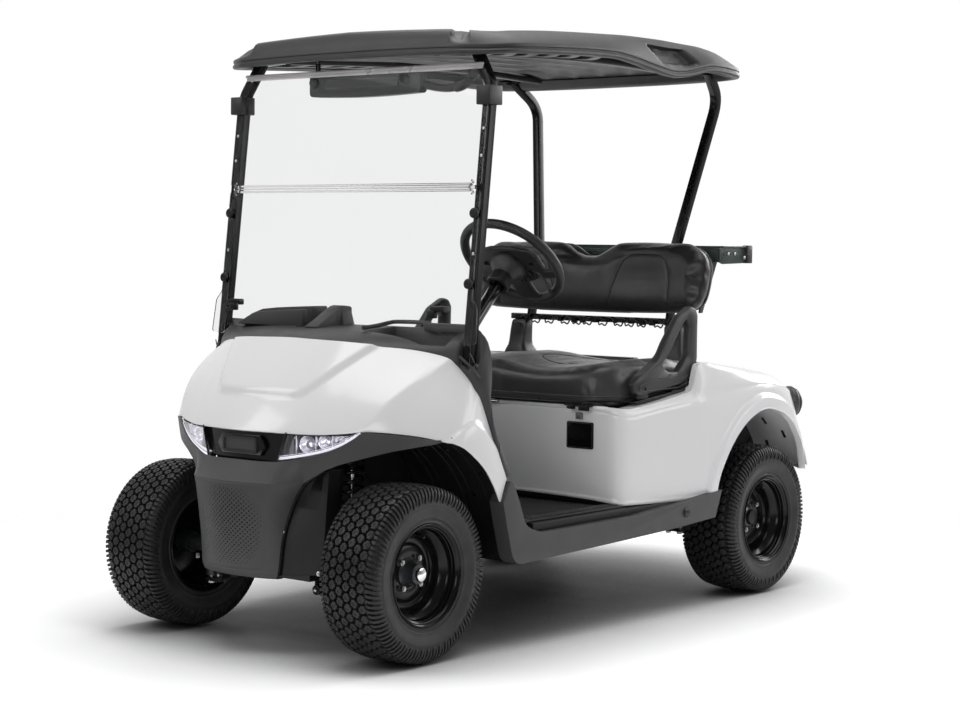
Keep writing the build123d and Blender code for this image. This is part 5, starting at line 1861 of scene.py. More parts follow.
def stuffed(shape, voxel, pressure, cap, held):
    # the pad as a cloth skin blown up from inside; held says which points stay on their seat
    solid = remeshed(shape, voxel)
    pad = bpy.data.objects.new("pad", solid)
    bpy.context.scene.collection.objects.link(pad)
    rest = [v.co.copy() for v in solid.vertices]
    shaped = rest
    group = pad.vertex_groups.new(name="held")
    group.add([i for i, p in enumerate(rest) if held(p / MM)], 1.0, "REPLACE")
    cloth = pad.modifiers.new("cloth", "CLOTH")
    cloth.settings.quality = 5
    cloth.settings.mass = 0.4
    cloth.settings.tension_stiffness = 20
    cloth.settings.compression_stiffness = 12
    cloth.settings.bending_stiffness = 1.5
    cloth.settings.use_pressure = True
    cloth.settings.uniform_pressure_force = pressure
    cloth.settings.effector_weights.gravity = 0
    cloth.settings.vertex_group_mass = "held"
    cloth.collision_settings.use_self_collision = False
    cloth.point_cache.frame_start, cloth.point_cache.frame_end = 1, PUFF_FRAMES
    for frame in range(1, PUFF_FRAMES + 1):
        bpy.context.scene.frame_set(frame)
    moved_pad = pad.evaluated_get(bpy.context.evaluated_depsgraph_get())
    shaped = []
    for p, v in zip(rest, moved_pad.data.vertices):
        # no point goes further than the cap
        step = v.co - p
        shaped.append(p + step * min(1.0, cap * MM / max(step.length, 1e-9)))
    bpy.context.scene.frame_set(1)
    points = [p / MM for p in shaped]
    faces = [tuple(f.vertices) for f in solid.polygons]
    bpy.data.objects.remove(pad)
    bm = to_bmesh((points, faces))
    for _ in range(2):
        bmesh.ops.smooth_vert(bm, verts=bm.verts, factor=0.4, use_axis_x=True, use_axis_y=True,
                              use_axis_z=True)
    return from_bmesh(bm)


def tree_of(shape):
    # for rays and nearest points on the shape
    return BVHTree.FromPolygons([tuple(p) for p in shape[0]], shape[1])


def laid_on(tree, path, way, lift):
    # the path dropped on to the skin along a direction
    hits = [tree.ray_cast(Vector(p) - way * 200, way)[0] for p in path]
    return [hit - way * lift for hit in hits if hit is not None]


def pressed(shape, path, way, width, depth):
    # a soft channel pressed into the skin along a laid path
    tree = KDTree(len(path))
    for i, p in enumerate(path):
        tree.insert(p, i)
    tree.balance()
    points = []
    for p in shape[0]:
        gap = tree.find(p)[2]
        points.append(p + way * depth * (1 - smooth_step(gap / width)) if gap < width else p)
    return points, shape[1]


def seamed(skin, paths, way, lift, channel, radius, closed):
    # the skin with a channel pressed along each path, and the welts that lie in the channels
    tree = tree_of(skin)
    lines = [laid_on(tree, path, way, lift) for path in paths]
    for line in lines:
        skin = pressed(skin, line, way, *channel)
    tree = tree_of(skin)
    welts = join(*[tube(laid_on(tree, line, way, 0.2), radius, 8, closed=closed) for line in lines])
    return skin, tree, welts


def noise_wrinkles(shape, centre, spread, height):
    # fine stretched creases round a corner of the skin
    points = []
    for p in shape[0]:
        near = math.exp(-((p.x - centre[0]) ** 2 + (p.y - centre[1]) ** 2 + (p.z - centre[2]) ** 2)
                        / spread ** 2)
        lift = noise.noise(Vector((p.x * 0.035, p.y * 0.012, p.z * 0.02))) * height * near
        points.append(p + Vector((0, 0, lift)))
    return points, shape[1]


SEAT_HALF = [(0, -78), (120, -79), (240, -78), (330, -74), (395, -62), (440, -38), (470, 2),
             (482, 48), (486, 120), (487, 260), (486, 380), (474, 410), (440, 424), (300, 428),
             (150, 428), (0, 428)]


def mirrored_loop(half, count):
    right = even(spline([(a, b, 0) for a, b in half], 14 * (len(half) - 1)), count)
    return [(p.x, p.y) for p in right] + [(-p.x, p.y) for p in reversed(right[1:-1])]


SEAT_FOOT = 662


def seat_top(x, y):
    # the crown of the seat with a dished place for each rider
    z = 786.0 - 7.0 * smooth_step((120 - y) / 190) - 14.0 * smooth_step((y - 300) / 140)
    dish = 1 - min(1.0, ((abs(x) - 246) / 196) ** 2)
    fade = smooth_step((470 - y) / 200) * smooth_step((y + 160) / 140)
    return z - 21.0 * dish ** 1.4 * (0.3 + 0.7 * fade) + 5.0 * math.exp(-(x / 60) ** 2)


SEAT_PROFILE = [(46, 0), (16, 0.0), (6, 0.02), (1, 0.07), (-2, 0.16), (-4, 0.30), (-4, 0.44),
                (-4, 0.58), (-2, 0.72), (3, 0.83), (11, 0.91), (22, 0.96), (37, 0.985), (56, 1.0)]


def seat_place(x, y, f):
    ridge = 2.5 * math.exp(-((abs(x) - 101) / 12) ** 2) * smooth_step((-40 - y) / 30) * math.sin(
        math.pi * min(1, max(0, f)))
    return Vector((x, y - ridge, SEAT_FOOT + (seat_top(x, y) - SEAT_FOOT) * f))


seat_skin = stuffed(pad_form(mirrored_loop(SEAT_HALF, 110), SEAT_PROFILE, seat_place), 7.0, 4.0,
                    7.0, lambda p: p.z < 668)
for side in (-1, 1):
    seat_skin = noise_wrinkles(seat_skin, (side * 250, 190, 760), 210, 2.6)
seat_ovals = [[(side * (214 + 128 * math.cos(a) * (1 + 0.10 * math.cos(2 * a))),
                196 + 118 * math.sin(a), 780) for a in [TURN * k / 120 for k in range(120)]]
              for side in (-1, 1)]
seat_skin, seat_tree, seat_welts = seamed(seat_skin, seat_ovals, DOWN, -0.5, (9.0, 2.2), 1.5, True)
welt_loop = [seat_tree.find_nearest(Vector((x, y, 683)))[0]
             for x, y in mirrored_loop(SEAT_HALF, 120)]
base_welt = tube(welt_loop, 2.6, 10, closed=True)
# the cushion and its base welt take the lightened vinyl: painted sheen
seat = put("seat_cushion_vinyl", [(seat_skin, painted_sheen_vinyl), (seat_welts, seam_thread),
                                  (base_welt, painted_sheen_vinyl)], "seat_lid",
           "seat_cushion", smooth=60)
BACK_HALF = [(0, 1117), (27, 1118), (52, 1126), (78, 1141), (104, 1155), (135, 1162), (250, 1164),
             (378, 1161), (420, 1148), (452, 1126), (470, 1100), (477, 1055), (474, 1000),
             (464, 958), (443, 935), (405, 925), (340, 920), (170, 916), (0, 915)]
BACK_PROFILE = [(60, 4), (34, 2), (22, 8), (14, 18), (8, 30), (3, 44), (0, 56), (3, 66), (9, 73),
                (20, 79), (36, 83), (58, 86), (80, 87)]


def back_rear(z):
    # the leaned plane behind the backrest
    return 549 + (z - 914) * 38 / 221


def back_place(x, z, depth):
    hollow = 7.0 * math.exp(-((abs(x) - 245) / 120) ** 2
                            - ((z - 1040) / 70) ** 2) if depth > 60 else 0.0
    return Vector((x, back_rear(z) - depth + hollow, z))


back_skin = stuffed(pad_form(mirrored_loop(BACK_HALF, 110), BACK_PROFILE, back_place), 6.5, 4.0,
                    6.0, lambda p: p.y > back_rear(p.z) - 8)
BACK_LINE = [(110, 944), (114, 970), (124, 1009), (144, 1065), (160, 1097), (178, 1112),
             (201, 1118), (282, 1119), (306, 1113), (325, 1098), (341, 1069), (348, 1026),
             (351, 980), (352, 948)]
back_seams = [curve_through([(side * x, 400, z) for x, z in BACK_LINE], 130) for side in (-1, 1)]
back_skin, back_tree, back_welts = seamed(back_skin, back_seams, REARWARD, -0.4, (8.0, 1.8), 1.4,
                                          False)
rim_loop = [back_tree.find_nearest(Vector((x * 1.01, back_rear(z) - 16, z)))[0]
            for x, z in mirrored_loop(BACK_HALF, 150)]
rim_welt = tube(rim_loop, 2.4, 10, closed=True)
back = put("backrest_cushion_vinyl", [(back_skin, black_vinyl), (back_welts, seam_thread),
                                      (rim_welt, black_vinyl)], "chassis",
           "seat_back", smooth=60)
shell_loop = [(x * 0.965, 1035 + (z - 1035) * 0.93) for x, z in mirrored_loop(BACK_HALF, 70)]
shell = capped([[(x * (1 - inset / 460), back_rear(z) - depth,
                  1035 + (z - 1035) * (1 - inset / 130)) for x, z in shell_loop]
                for inset, depth in ((0, 8), (2, -2), (7, -7), (16, -9), (60, -9))], flip=True)
shell_ribs = join(*[box(-330, 330, back_rear(z) + 6, back_rear(z) + 12, z - 5, z + 5, 2.5, 2)
                    for z in (980, 1030, 1080)])
put("backrest_rear_shell", [(shell, trim_plastic), (shell_ribs, trim_plastic)], "chassis",
    smooth=36)
# ---------------------------------------------------------------- seat base, restraints, rack
base_plate = prism(plate(-472, 472, -52, 422, 60, 6), 657, 664, "xy", 1.5, 2)
base_lip = sweep([(x, y, 661) for x, y in plate(-468, 468, -50, 418, 60, 8)],
                 box_section(9, 12, 3, 2), closed=True)
hinge = join(rod((-70, -58, 650), (70, -58, 650), 5, 20, 0.8),
             box(-58, 58, -61, -55, 652, 660, 1, 1))
catch = join(box(334, 434, -64, -50, 652, 658, 2, 2), box(352, 372, -68, -56, 643, 656, 2, 2),
             box(388, 424, -66, -54, 640, 655, 3, 2),
             rod((344, -62, 648), (364, -62, 648), 4, 16, 0.8))
put("seat_base_pan", [(base_plate, black_plastic), (base_lip, black_plastic), (hinge, zinc_steel),
                      (catch, black_plastic)], "seat_lid", "seat_base", smooth=36)


def even_loop(corners, count):
    # the closed line with its points spread evenly
    pts = [Vector((a, b, 0)) for a, b in corners]
    return even(pts + [pts[0]], count + 1)[:-1]


def matched(outer, hole):
    # the hole's loop turned so that its first point faces the outer loop's and both run the
    # same way round
    start = min(range(len(hole)), key=lambda i: (hole[i] - outer[0]).length)
    turned = hole[start:] + hole[:start]
    back_way = [turned[0]] + list(reversed(turned[1:]))
    quarter = len(outer) // 4
    if (back_way[quarter] - outer[quarter]).length < (turned[quarter] - outer[quarter]).length:
        turned = back_way
    return turned


HIP_OUTER = rounded([(37, 722), (71, 746), (156, 785), (183, 807), (211, 847), (282, 927),
                     (350, 958), (377, 952), (391, 930), (391, 790), (384, 762), (373, 748),
                     (310, 712), (83, 686), (50, 690)], [12, 30, 20, 30, 50, 60, 20, 12, 12, 20, 14,
                                                         12, 60, 30, 16], 6)
HIP_HOLE = rounded([(344, 892), (325, 919), (268, 857), (232, 815), (194, 782), (206, 764),
                    (235, 752), (285, 752), (339, 802)], [10, 9, 60, 40, 12, 9, 12, 24, 24], 6)


def hip_restraint():
    count = 150
    outer = even_loop(HIP_OUTER, count)
    rows = []
    for a, b in zip(outer, matched(outer, even_loop(HIP_HOLE, count))):
        width = (b - a).length
        f = min(9.0, width * 0.3) / width
        edge = 0.35 * min(9.0, width * 0.3) / width
        section = ((0, 504), (edge, 498.5), (f, 496), (0.5, 495), (1 - f, 496), (1 - edge, 498.5),
                   (1, 504), (1, 518), (1 - edge, 523.5), (1 - f, 526), (0.5, 527.5), (f, 526),
                   (edge, 523.5), (0, 518))
        rows.append([(x, *a.lerp(b, share).xy) for share, x in section])
    hoop = grid(rows, close_rows=True, close_cols=True)
    panel = rounded([(62, 716), (168, 738), (262, 730), (330, 742), (362, 772), (366, 744),
                     (352, 724), (278, 703), (84, 699), (62, 704)],
                    [10, 20, 20, 20, 8, 8, 14, 14, 10, 6], 5)
    line = sweep([(527.5, y, z) for y, z in panel], box_section(3.2, 2.4, 1, 2), up=(1, 0, 0),
                 closed=True)
    feet = join(box(492, 522, 60, 120, 674, 694, 4, 3), box(492, 522, 250, 330, 680, 694, 4, 3))
    bolts = join(rod((526, 356, 700), (530, 356, 700), 6, 6, 1),
                 rod((526, 96, 707), (529.5, 96, 707), 5, 6, 1))
    apron = prism([(40, 668), (120, 676), (296, 694), (326, 700), (326, 688), (286, 684),
                   (60, 660)], 498, 524, "yz", 2, 2)
    return on_both_sides((hoop, trim_plastic), (line, trim_plastic), (feet, black_plastic),
                         (bolts, black_steel), (apron, black_plastic))


put("hip_restraint_hoops", hip_restraint(), "chassis", "hip_restraints", smooth=34)


def support():
    rings = [[(x, y, z) for x, y in plate(x0, x1, y0, y1, r, 4)] for z, x0, x1, y0, y1, r in (
        (752, 276, 376, 528, 612, 14), (770, 278, 375, 528, 611, 14), (782, 284, 371, 530, 606, 16),
        (796, 290, 364, 534, 598, 16), (812, 292, 361, 538, 594, 12), (850, 290, 357, 542, 590, 9),
        (876, 288, 354, 546, 588, 8), (884, 292, 350, 549, 585, 6), (886, 300, 342, 553, 580, 6))]
    ribs = [sweep([(x, 541, 800), (x, 545, 872)], box_section(6, 5, 2, 2), up=(1, 0, 0))
            for x in (303, 344)]
    return join(capped(rings, flip=True), *ribs, box(309, 337, 540, 543.5, 806, 874, 1.2, 1))


put("seat_support_posts", on_both_sides((support(), trim_plastic)), "chassis",
    "seat_supports", smooth=36)


def back_frame():
    rail = box(-372, 372, 566, 590, 886, 906, 3, 2)
    uprights = [sweep([(x, 580, 900), (x, 598, 1000), (x, 619, 1128)], box_section(40, 12, 3, 2),
                      up=(1, 0, 0)) for x in (-290, 290)]
    loom = [(-362 + 700 * k / 120, 560 + 5 * math.sin(k * 0.55),
             894 + 4.5 * math.sin(k * 0.8) + 2 * math.sin(k * 0.31)) for k in range(121)]
    clips, hooks = [], []
    for k in range(-7, 8):
        x = k * 48 + 7 * math.sin(k * 2.3)
        clips.append(box(x - 9, x + 9, 552, 568, 884 + 3 * math.sin(k), 904, 2, 2))
    for k in range(-6, 6):
        x = k * 56 + 24 + 9 * math.sin(k * 1.7)
        hooks.append(tube(curve_through([(x - 16, 566, 888), (x - 8, 560, 877), (x + 4, 558, 881),
                                         (x + 15, 562, 875), (x + 22, 566, 888)], 18), 2.6, 8))
    return [(rail, black_steel), (join(*uprights), black_steel),
            (tube(curve_through(loom, 200), 4.6, 8), trim_plastic), (join(*clips), black_plastic),
            (join(*hooks), rack_steel)]


put("backrest_frame_and_loom", back_frame(), "chassis", "seat_back_frame", smooth=36)


def rack_bar(y0, y1, z0, z1, edge=0.8):
    # a wall of the channel across the rack
    return prism([(y0, z0), (y1, z0), (y1, z1), (y0, z1)], -450, 450, "yz", edge, 1)


def bag_rack():
    channel = join(rack_bar(782, 785.5, 1096, 1150), rack_bar(782, 812, 1146.5, 1150),
                   rack_bar(782, 812, 1096, 1099.5), rack_bar(809, 812, 1096, 1105, 0.6),
                   rack_bar(809, 812, 1141, 1150, 0.6))
    outline = rounded([(626, 1138), (646, 1149), (788, 1151), (790, 1100), (768, 1093), (648, 1090),
                       (628, 1096)], [8, 12, 2, 2, 10, 12, 6], 4)
    arms, braces, bolts, pads = [], [], [], []
    for side in (-1, 1):
        low, high = sorted((side * 444, side * 452))
        arms += [prism(outline, low, high, "yz", 1.6, 2),
                 box(low - 6, high + 6, 640, 786, 1145, 1150, 1.5, 1)]
        low, high = sorted((side * 407, side * 413))
        braces.append(prism([(600, 1100), (676, 1100), (590, 928), (572, 928)], low, high, "yz", 1,
                            1))
        bolts += [rod((side * 460, y, z), (side * 466, y, z), 6.5, 6, 1.2)
                  for y, z in ((660, 1124), (760, 1112), (700, 1124))]
        bolts.append(rod((side * 200, 777, 1123), (side * 200, 783, 1123), 8, 6, 1.2))
        pads.append(box(side * 452 - 11, side * 452 + 11, 784, 815, 1093, 1153, 3, 2))
    arms += [box(-446, 446, 626, 632, 1096, 1141, 2, 2),
             box(-446, 446, 626, 652, 1137, 1142, 1.5, 1)]
    return [(channel, rack_steel), (join(*arms), rack_steel), (join(*braces), rack_steel),
            (join(*bolts), zinc_steel), (join(*pads), trim_plastic)]


put("bag_rack_frame", bag_rack(), "chassis", "bag_rack", smooth=34)
# ---------------------------------------------------------------- steering wheel and column
WHEEL_MIDDLE = Vector((258, -237, 1095))
COLUMN_TILT = math.radians(44.5)
COLUMN_WAY = Vector((0, math.sin(COLUMN_TILT), math.cos(COLUMN_TILT)))
COLUMN_FRONT = Vector((0, math.cos(COLUMN_TILT), -math.sin(COLUMN_TILT)))
WHEEL_SPACE = Matrix.Translation(WHEEL_MIDDLE) @ Matrix.Rotation(-COLUMN_TILT, 4, "X")


def wheel_parts():
    # built flat: x across, y towards the rider, z up the column
    circle = [TURN * k / 120 for k in range(120)]
    rim = tube([(160 * math.cos(a), 160 * math.sin(a), 0) for a in circle], 14.6, 20, closed=True)
    seam = tube([(160 * math.cos(a), 160 * math.sin(a), -14.4) for a in circle], 0.9, 6,
                closed=True)
    hub = prism(rounded([(-118, -30), (-95, -58), (-40, -71), (40, -71), (95, -58), (118, -30),
                         (120, 18), (84, 58), (40, 74), (-40, 74), (-84, 58), (-120, 18)], 22, 5),
                -16, -2, "xy", 5, 3)
    # a visor over the hub that holds the score card
    lip_line = curve_through([(-99, -10, 17), (-95, -22, 20), (-49, -39, 21), (0, -36, 21),
                              (38, -25, 21), (84, -6, 19), (108, 4, 12)], 40)
    foot_line = curve_through([(-90, 4, 6), (-80, -3, 0), (-40, 3, -3), (13, 10, -4), (50, 4, -3),
                               (86, 0, 0), (104, 6, 6)], 40)
    rows = []
    for a, b in zip(lip_line, foot_line):
        back = Vector((a.x * 0.7, 40, 6))
        rows.append([a, a + Vector((0, -3, -3)), a.lerp(b, 0.5) + Vector((0, -2.5, -1)), b,
                     b.lerp(back, 0.5) - Vector((0, 0, 6)), back - Vector((0, 0, 6)), back,
                     a.lerp(back, 0.35) - Vector((0, 0, 9)), a + Vector((0, 4, -4))])
    holder = capped(rows)
    # the visor's lip is a lighter grey than the holder: painted highlight along its edge
    highlit_holder_lip = tube(lip_line, 2.6, 10)
    inner_lip = tube([p + Vector((0, 9, -6)) for p in lip_line[3:-6]], 1.6, 8)
    clip = prism(rounded([(-26, -14), (26, -14), (20, 24), (-20, 24)], 8, 4), 8, 13, "xy", 1.5, 2)
    spokes = []
    for side in (-1, 1):
        spokes.append(bent([(side * 92, 34, -10), (side * 122, 42, -10), (side * 152, 40, -4)], 16,
                           box_section(30, 11, 4, 3)))
        loop = [(side * 88, 30, -12), (side * 104, 52, -20), (side * 108, 84, -22),
                (side * 98, 108, -18), (side * 92, 128, -6)]
        spokes.append(tube(curve_through(loop, 30), 5.5, 10))
    spokes.append(bent([(0, 62, -12), (0, 108, -12), (0, 152, -4)], 16, box_section(74, 10, 4, 3)))
    vents = []
    for k in range(6):
        for side in (-1, 1):
            x = side * (16 + k * 13)
            y = 64 - 0.0035 * x * x
            vents.append(prism([(x - 4, y - 9), (x + 4, y - 9), (x + 5, y + 7), (x - 3, y + 7)],
                               -18.2, -15, "xy", 0.5, 1))
    vents += [prism(plate(x - 11, x + 11, y - 8, y + 8, 3, 3), -18, -15, "xy", 0.5, 1)
              for x, y in ((-69, 30), (69, 30), (-86, -8), (86, -8))]
    cone = lathe([(0, 50), (-6, 57), (-14, 57), (-22, 54), (-34, 44), (-44, 37), (-50, 34),
                  (-52, 28)], (0, 0, -14), UP, 56)
    collar = lathe([(-62, 31), (-64, 34), (-98, 36), (-103, 34.5), (-103, 25), (-92, 22)],
                   (0, 0, 0), UP, 48)
    boss = lathe([(0, 40), (10, 40), (14, 37), (16, 30), (17, 1)], (0, 12, -4), UP, 48)
    # the lighter liner grey on the visor's lip is painted highlight
    shown = [(join(rim, seam), grip_rubber), (hub, grip_rubber), (highlit_holder_lip, liner_plastic),
             (join(holder, inner_lip), trim_plastic), (clip, black_plastic),
             (join(*spokes), grip_rubber), (join(*vents), gloss_black), (cone, grip_rubber),
             (join(collar, boss), black_plastic)]
    return [(moved(shape, WHEEL_SPACE), mat) for shape, mat in shown]


put("steering_wheel_and_hub", wheel_parts(), "steering", "steering_wheel", smooth=36)


def along_column(d, x=0.0, h=0.0):
    # the point d down the column from the wheel, x to the left of its axis and h in front of it
    return WHEEL_MIDDLE - COLUMN_WAY * d + Vector((x, 0, 0)) + COLUMN_FRONT * h


column = rod(along_column(94), along_column(704), 19, 40, 1.5)
key_strip = sweep([along_column(100, 14, -13), along_column(560, 14, -13)],
                  box_section(5, 5, 1.5, 2), up=(1, 0, 0))
cable = tube(curve_through([along_column(96, -20, 4), along_column(200, -22, 6),
                            along_column(400, -21, 8), along_column(600, -20, 10)], 40), 4, 10)
clamps = join(*[lathe([(0, 19), (0, 21.5), (14, 21.5), (14, 19)], along_column(d), -COLUMN_WAY, 36)
                for d in (420, 560)])
boot = lathe([(0, 20), (6, 27), (12, 22), (18, 30), (24, 25), (30, 34), (36, 28), (44, 40),
              (52, 34), (60, 46), (66, 46), (68, 44)], along_column(620), -COLUMN_WAY, 44)
put("steering_column_tube", [(column, gloss_black), (key_strip, black_steel),
                             (cable, black_plastic), (clamps, black_plastic), (boot, mat_rubber)],
    "chassis", "steering_column", smooth=36)


# ---------------------------------------------------------------- pedals and floor
def pedals():
    pads, ribs, arms = [], [], []
    for x, wide in ((105, 90), (215, 62)):
        low, high = Vector((x, -560, 400)), Vector((x, -590, 500))
        way = (high - low).normalized()
        out = Vector((0, way.z, -way.y))
        pads.append(sweep([low, low.lerp(high, 0.5) - out * 2, high], box_section(wide, 10, 4, 3),
                          out))
        half = Vector((wide / 2 - 6, 0, 0))
        for k in range(9):
            p = low.lerp(high, 0.08 + 0.105 * k) + out * 5.5
            ribs.append(sweep([p - half, p + half], box_section(4, 3, 1, 2), out))
        arms.append(bent([(x, -574, 440), (x, -598, 462), (x, -624, 520), (x, -641, 562)], 20,
                         box_section(16, 9, 3, 3)))
    return [(join(*pads), black_plastic), (join(*ribs), mat_rubber), (join(*arms), black_steel)]


put("pedal_pads_and_arms", pedals(), "chassis", "pedals", smooth=36)


def mat_ribs():
    # raised lines that run diagonally over the floor and up the toe board
    section = box_section(5, 3.4, 1.2, 2)
    ribs = []
    for k in range(-34, 62):
        a, b = Vector((k * 17.0, -558)), Vector((k * 17.0 + 250, -72))
        line = [a.lerp(b, j / 12) for j in range(13)]
        line = [(p.x, p.y, 351.2) for p in line if abs(p.x) < 462]
        if len(line) > 2:
            ribs.append(sweep(line, section))
    for k in range(-20, 21):
        x = k * 22.0
        ribs.append(sweep([(x, -566, 368), (x, -603, 446), (x, -655, 522)], section, up=(0, 1, 0)))
    border = [(x, y, 351.5) for x, y in plate(-474, 474, -560, -66, 14, 5)]
    return join(*ribs, sweep(border, box_section(8, 4, 1.6, 2), closed=True))


def floor_sheet():
    # the mat from the top of the toe board, over the floor and up behind the seat box's lower edge
    profile = rounded([(-752, 800), (-752, 612), (-657, 524), (-603, 448), (-560, 350), (-26, 350),
                       (-26, 440)], [5, 40, 40, 40, 26, 14, 5], 6, closed=False)
    rows = []
    for y, z in profile:
        half = table([350, 430, 620, 700, 800], [519, 512, 500, 470, 430], z) if y < -100 else 516
        rows.append([(half * (k / 16 - 1), y, z) for k in range(33)])
    return thick(grid(rows), -6, 1, 1)


sill = join(box(482, 536, -512, 428, 349, 357, 3, 2),
            *[box(x - 2.2, x + 2.2, -470, 420, 356, 360, 1.2, 2) for x in (490, 500, 510, 520)])
screws = join(*[lathe([(0, 8), (2, 8), (3.5, 6), (3.5, 2.5), (2, 2), (2, 0.4)], (505, y, 357), UP,
                      20) for y in (-492, -200, 100, 400)])
# the mat's ribs take the lighter grip rubber: painted highlight on their raised tops
put("floor_mat_and_sills", [(floor_sheet(), mat_rubber), (mat_ribs(), grip_rubber),
                            (both_sides(sill), black_plastic), (both_sides(screws), black_steel)],
    "chassis", "floor_pan", smooth=36)
ROCKER_SIDE = rounded([(-650, 423), (-617, 482), (-604, 474), (-571, 400), (-549, 346), (-478, 324),
                       (-20, 327), (200, 343), (452, 370), (447, 366), (412, 284), (200, 271),
                       (-200, 256), (-480, 246), (-600, 240), (-632, 352)],
                      [4, 4, 8, 30, 60, 40, 200, 200, 4, 2, 6, 200, 200, 60, 52, 60], 6)


def rocker():
    points, faces = prism(ROCKER_SIDE, 540, 590, "yz", 7, 4)
    # drawn in towards the front, as the body narrows there
    skin = [p + Vector((table([-660, -560, -200, 300], [-28, -24, -12, 0], p.y), 0, 0))
            for p in points], faces
    button = lathe([(0, 14), (3, 14), (5, 12), (5, 8), (3, 7), (3, 3), (4, 2.5), (4, 0.3)],
                   (586, 248, 313), (1, 0, 0), 28)
    gap = ring((589.5, 248, 313), (1, 0, 0), 14.5, 1.2, 28, 8)
    return on_both_sides((skin, grey_plastic), (button, gloss_black), (gap, gloss_black),
                         (box(520, 552, -498, 430, 322, 350, 3, 2), black_plastic))


put("rocker_panels_moulded", rocker(), "chassis", "rockers", smooth=34)
# ---------------------------------------------------------------- front wheel liners and suspension
LINER_Y, LINER_Z, LINER_R = -985, 235, 408


def in_arch(x, radius, angle):
    return Vector((x, LINER_Y + radius * math.cos(angle), LINER_Z + radius * math.sin(angle)))


def front_liner():
    # the arch's inner skin, which stops short of the fender's curved front edge
    rows = []
    for k in range(61):
        a = math.radians(92 - 90.5 * k / 60)
        y, z = LINER_Y + LINER_R * math.cos(a), LINER_Z + LINER_R * math.sin(a)
        far = 532
        while far > 240 and nose_y(far) > y - 16:
            far -= 6
        row = []
        for j in range(17):
            lift = 2.5 if j % 4 == 2 else 0.0
            row.append((228 + (far - 228) * j / 16, y - lift * math.cos(a), z - lift * math.sin(a)))
        rows.append(row)
    bars = [sweep([in_arch(x, LINER_R - 3, math.radians(64 - 50 * k / 24)) for k in range(25)],
                  box_section(10, 7, 2.5, 2), up=(0, 1, 0)) for x in (300, 330, 398, 428, 486)]
    studs = [rod(in_arch(x, LINER_R, math.radians(turn)),
                 in_arch(x, LINER_R - 8, math.radians(turn)), 6, 16, 1.5)
             for x, turn in ((364, 56), (364, 30), (446, 56), (446, 30), (508, 42))]
    wall = prism(rounded([(-1000, 560), (-985, 640), (-900, 632), (-800, 596), (-700, 524),
                          (-620, 400), (-640, 380), (-820, 440), (-860, 500), (-990, 510)], 14, 4),
                 226, 231, "yz", 1, 1)
    return on_both_sides((thick(grid(rows), 3, 0.8, 1), black_plastic),
                         (join(*bars), black_plastic), (join(*studs), gloss_black),
                         (wall, black_plastic))


put("front_liners_ribbed", front_liner(), "chassis", "front_wheel_liners",
    smooth=34)


def coil_over():
    def at(z):
        return (240, -925, z)

    coil = []
    for k in range(211):
        a = 2 * math.pi * 7.5 * k / 210
        coil.append(Vector(at(0)) + Vector((30 * math.cos(a), 30 * math.sin(a),
                                            352 + 200 * k / 210)))
    body = lathe([(0, 14), (4, 18), (150, 18), (156, 15), (158, 9)], at(186), UP, 32)
    shaft = rod(at(340), at(566), 7.5, 24, 1)
    seats = join(lathe([(0, 20), (2, 37), (8, 38), (10, 34), (12, 19)], at(336), UP, 36),
                 lathe([(0, 19), (3, 35), (10, 36), (14, 24), (22, 12)], at(556), UP, 36))
    bump = lathe([(0, 10), (3, 15), (10, 14), (14, 16), (22, 14), (26, 16), (34, 13), (38, 9)],
                 at(512), UP, 24)
    eye = join(lathe([(-14, 6), (-14, 15), (14, 15), (14, 6)], at(176), (0, 1, 0), 28),
               rod((240, -945, 176), (240, -905, 176), 6, 6, 1))
    nut = join(rod(at(588), at(600), 10, 6, 1.4), rod(at(600), at(612), 5, 16, 1))
    return on_both_sides((tube(coil, 5.2, 12), black_steel), (body, black_steel), (shaft, chrome),
                         (seats, chassis_steel), (bump, mat_rubber), (eye, zinc_steel),
                         (nut, zinc_steel))


put("front_coil_overs", coil_over(), "chassis", "front_shocks", smooth=36)


def front_arms():
    y = -925
    legs, bushes, bolts = [], [], []
    for leg in (-75, 75):
        legs.append(bent([(194, y + leg, 181), (224, y + leg * 0.72, 172),
                          (252, y + leg * 0.34, 163), (274, y, 158)], 14,
                         box_section(20, 22, 6, 3)))
        bushes.append(lathe([(-17, 6), (-17, 14), (17, 14), (17, 6)], (193, y + leg, 180),
                            (0, 1, 0), 28))
        bolts.append(rod((193, y + leg - 22, 180), (193, y + leg + 22, 180), 6, 6, 1.2))
    web = prism(rounded([(206, y - 44), (250, y - 18), (250, y + 18), (206, y + 44)], 8, 3), 168,
                173, "xy", 1, 1)
    post = sweep([(272, y, 140), (272, y, 352)], box_section(38, 18, 4, 3), up=(0, 1, 0))
    ears = [box(270, 332, y - 14, y + 14, z - 6, z + 6, 3, 2) for z in (144, 348)]
    hanger = box(186, 192, y - 92, y + 92, 168, 206, 1.4, 1)
    lugs = [box(224, 268, y + near, y + near + 5, 152, 186, 2, 1) for near in (-20, 15)]
    pin = rod((318, y, 141), (318, y, 354), 10, 28, 1.4)
    caps = join(rod((318, y, 354), (318, y, 361), 14, 6, 1.6),
                rod((318, y, 132), (318, y, 139), 14, 6, 1.6))
    return on_both_sides((join(*legs, web), chassis_steel),
                         (join(*ears, post, hanger, *lugs), chassis_steel),
                         (join(*bushes), mat_rubber), (join(*bolts), zinc_steel), (pin, zinc_steel),
                         (caps, zinc_steel))


put("front_suspension_arms", front_arms(), "chassis", "front_suspension", smooth=36)


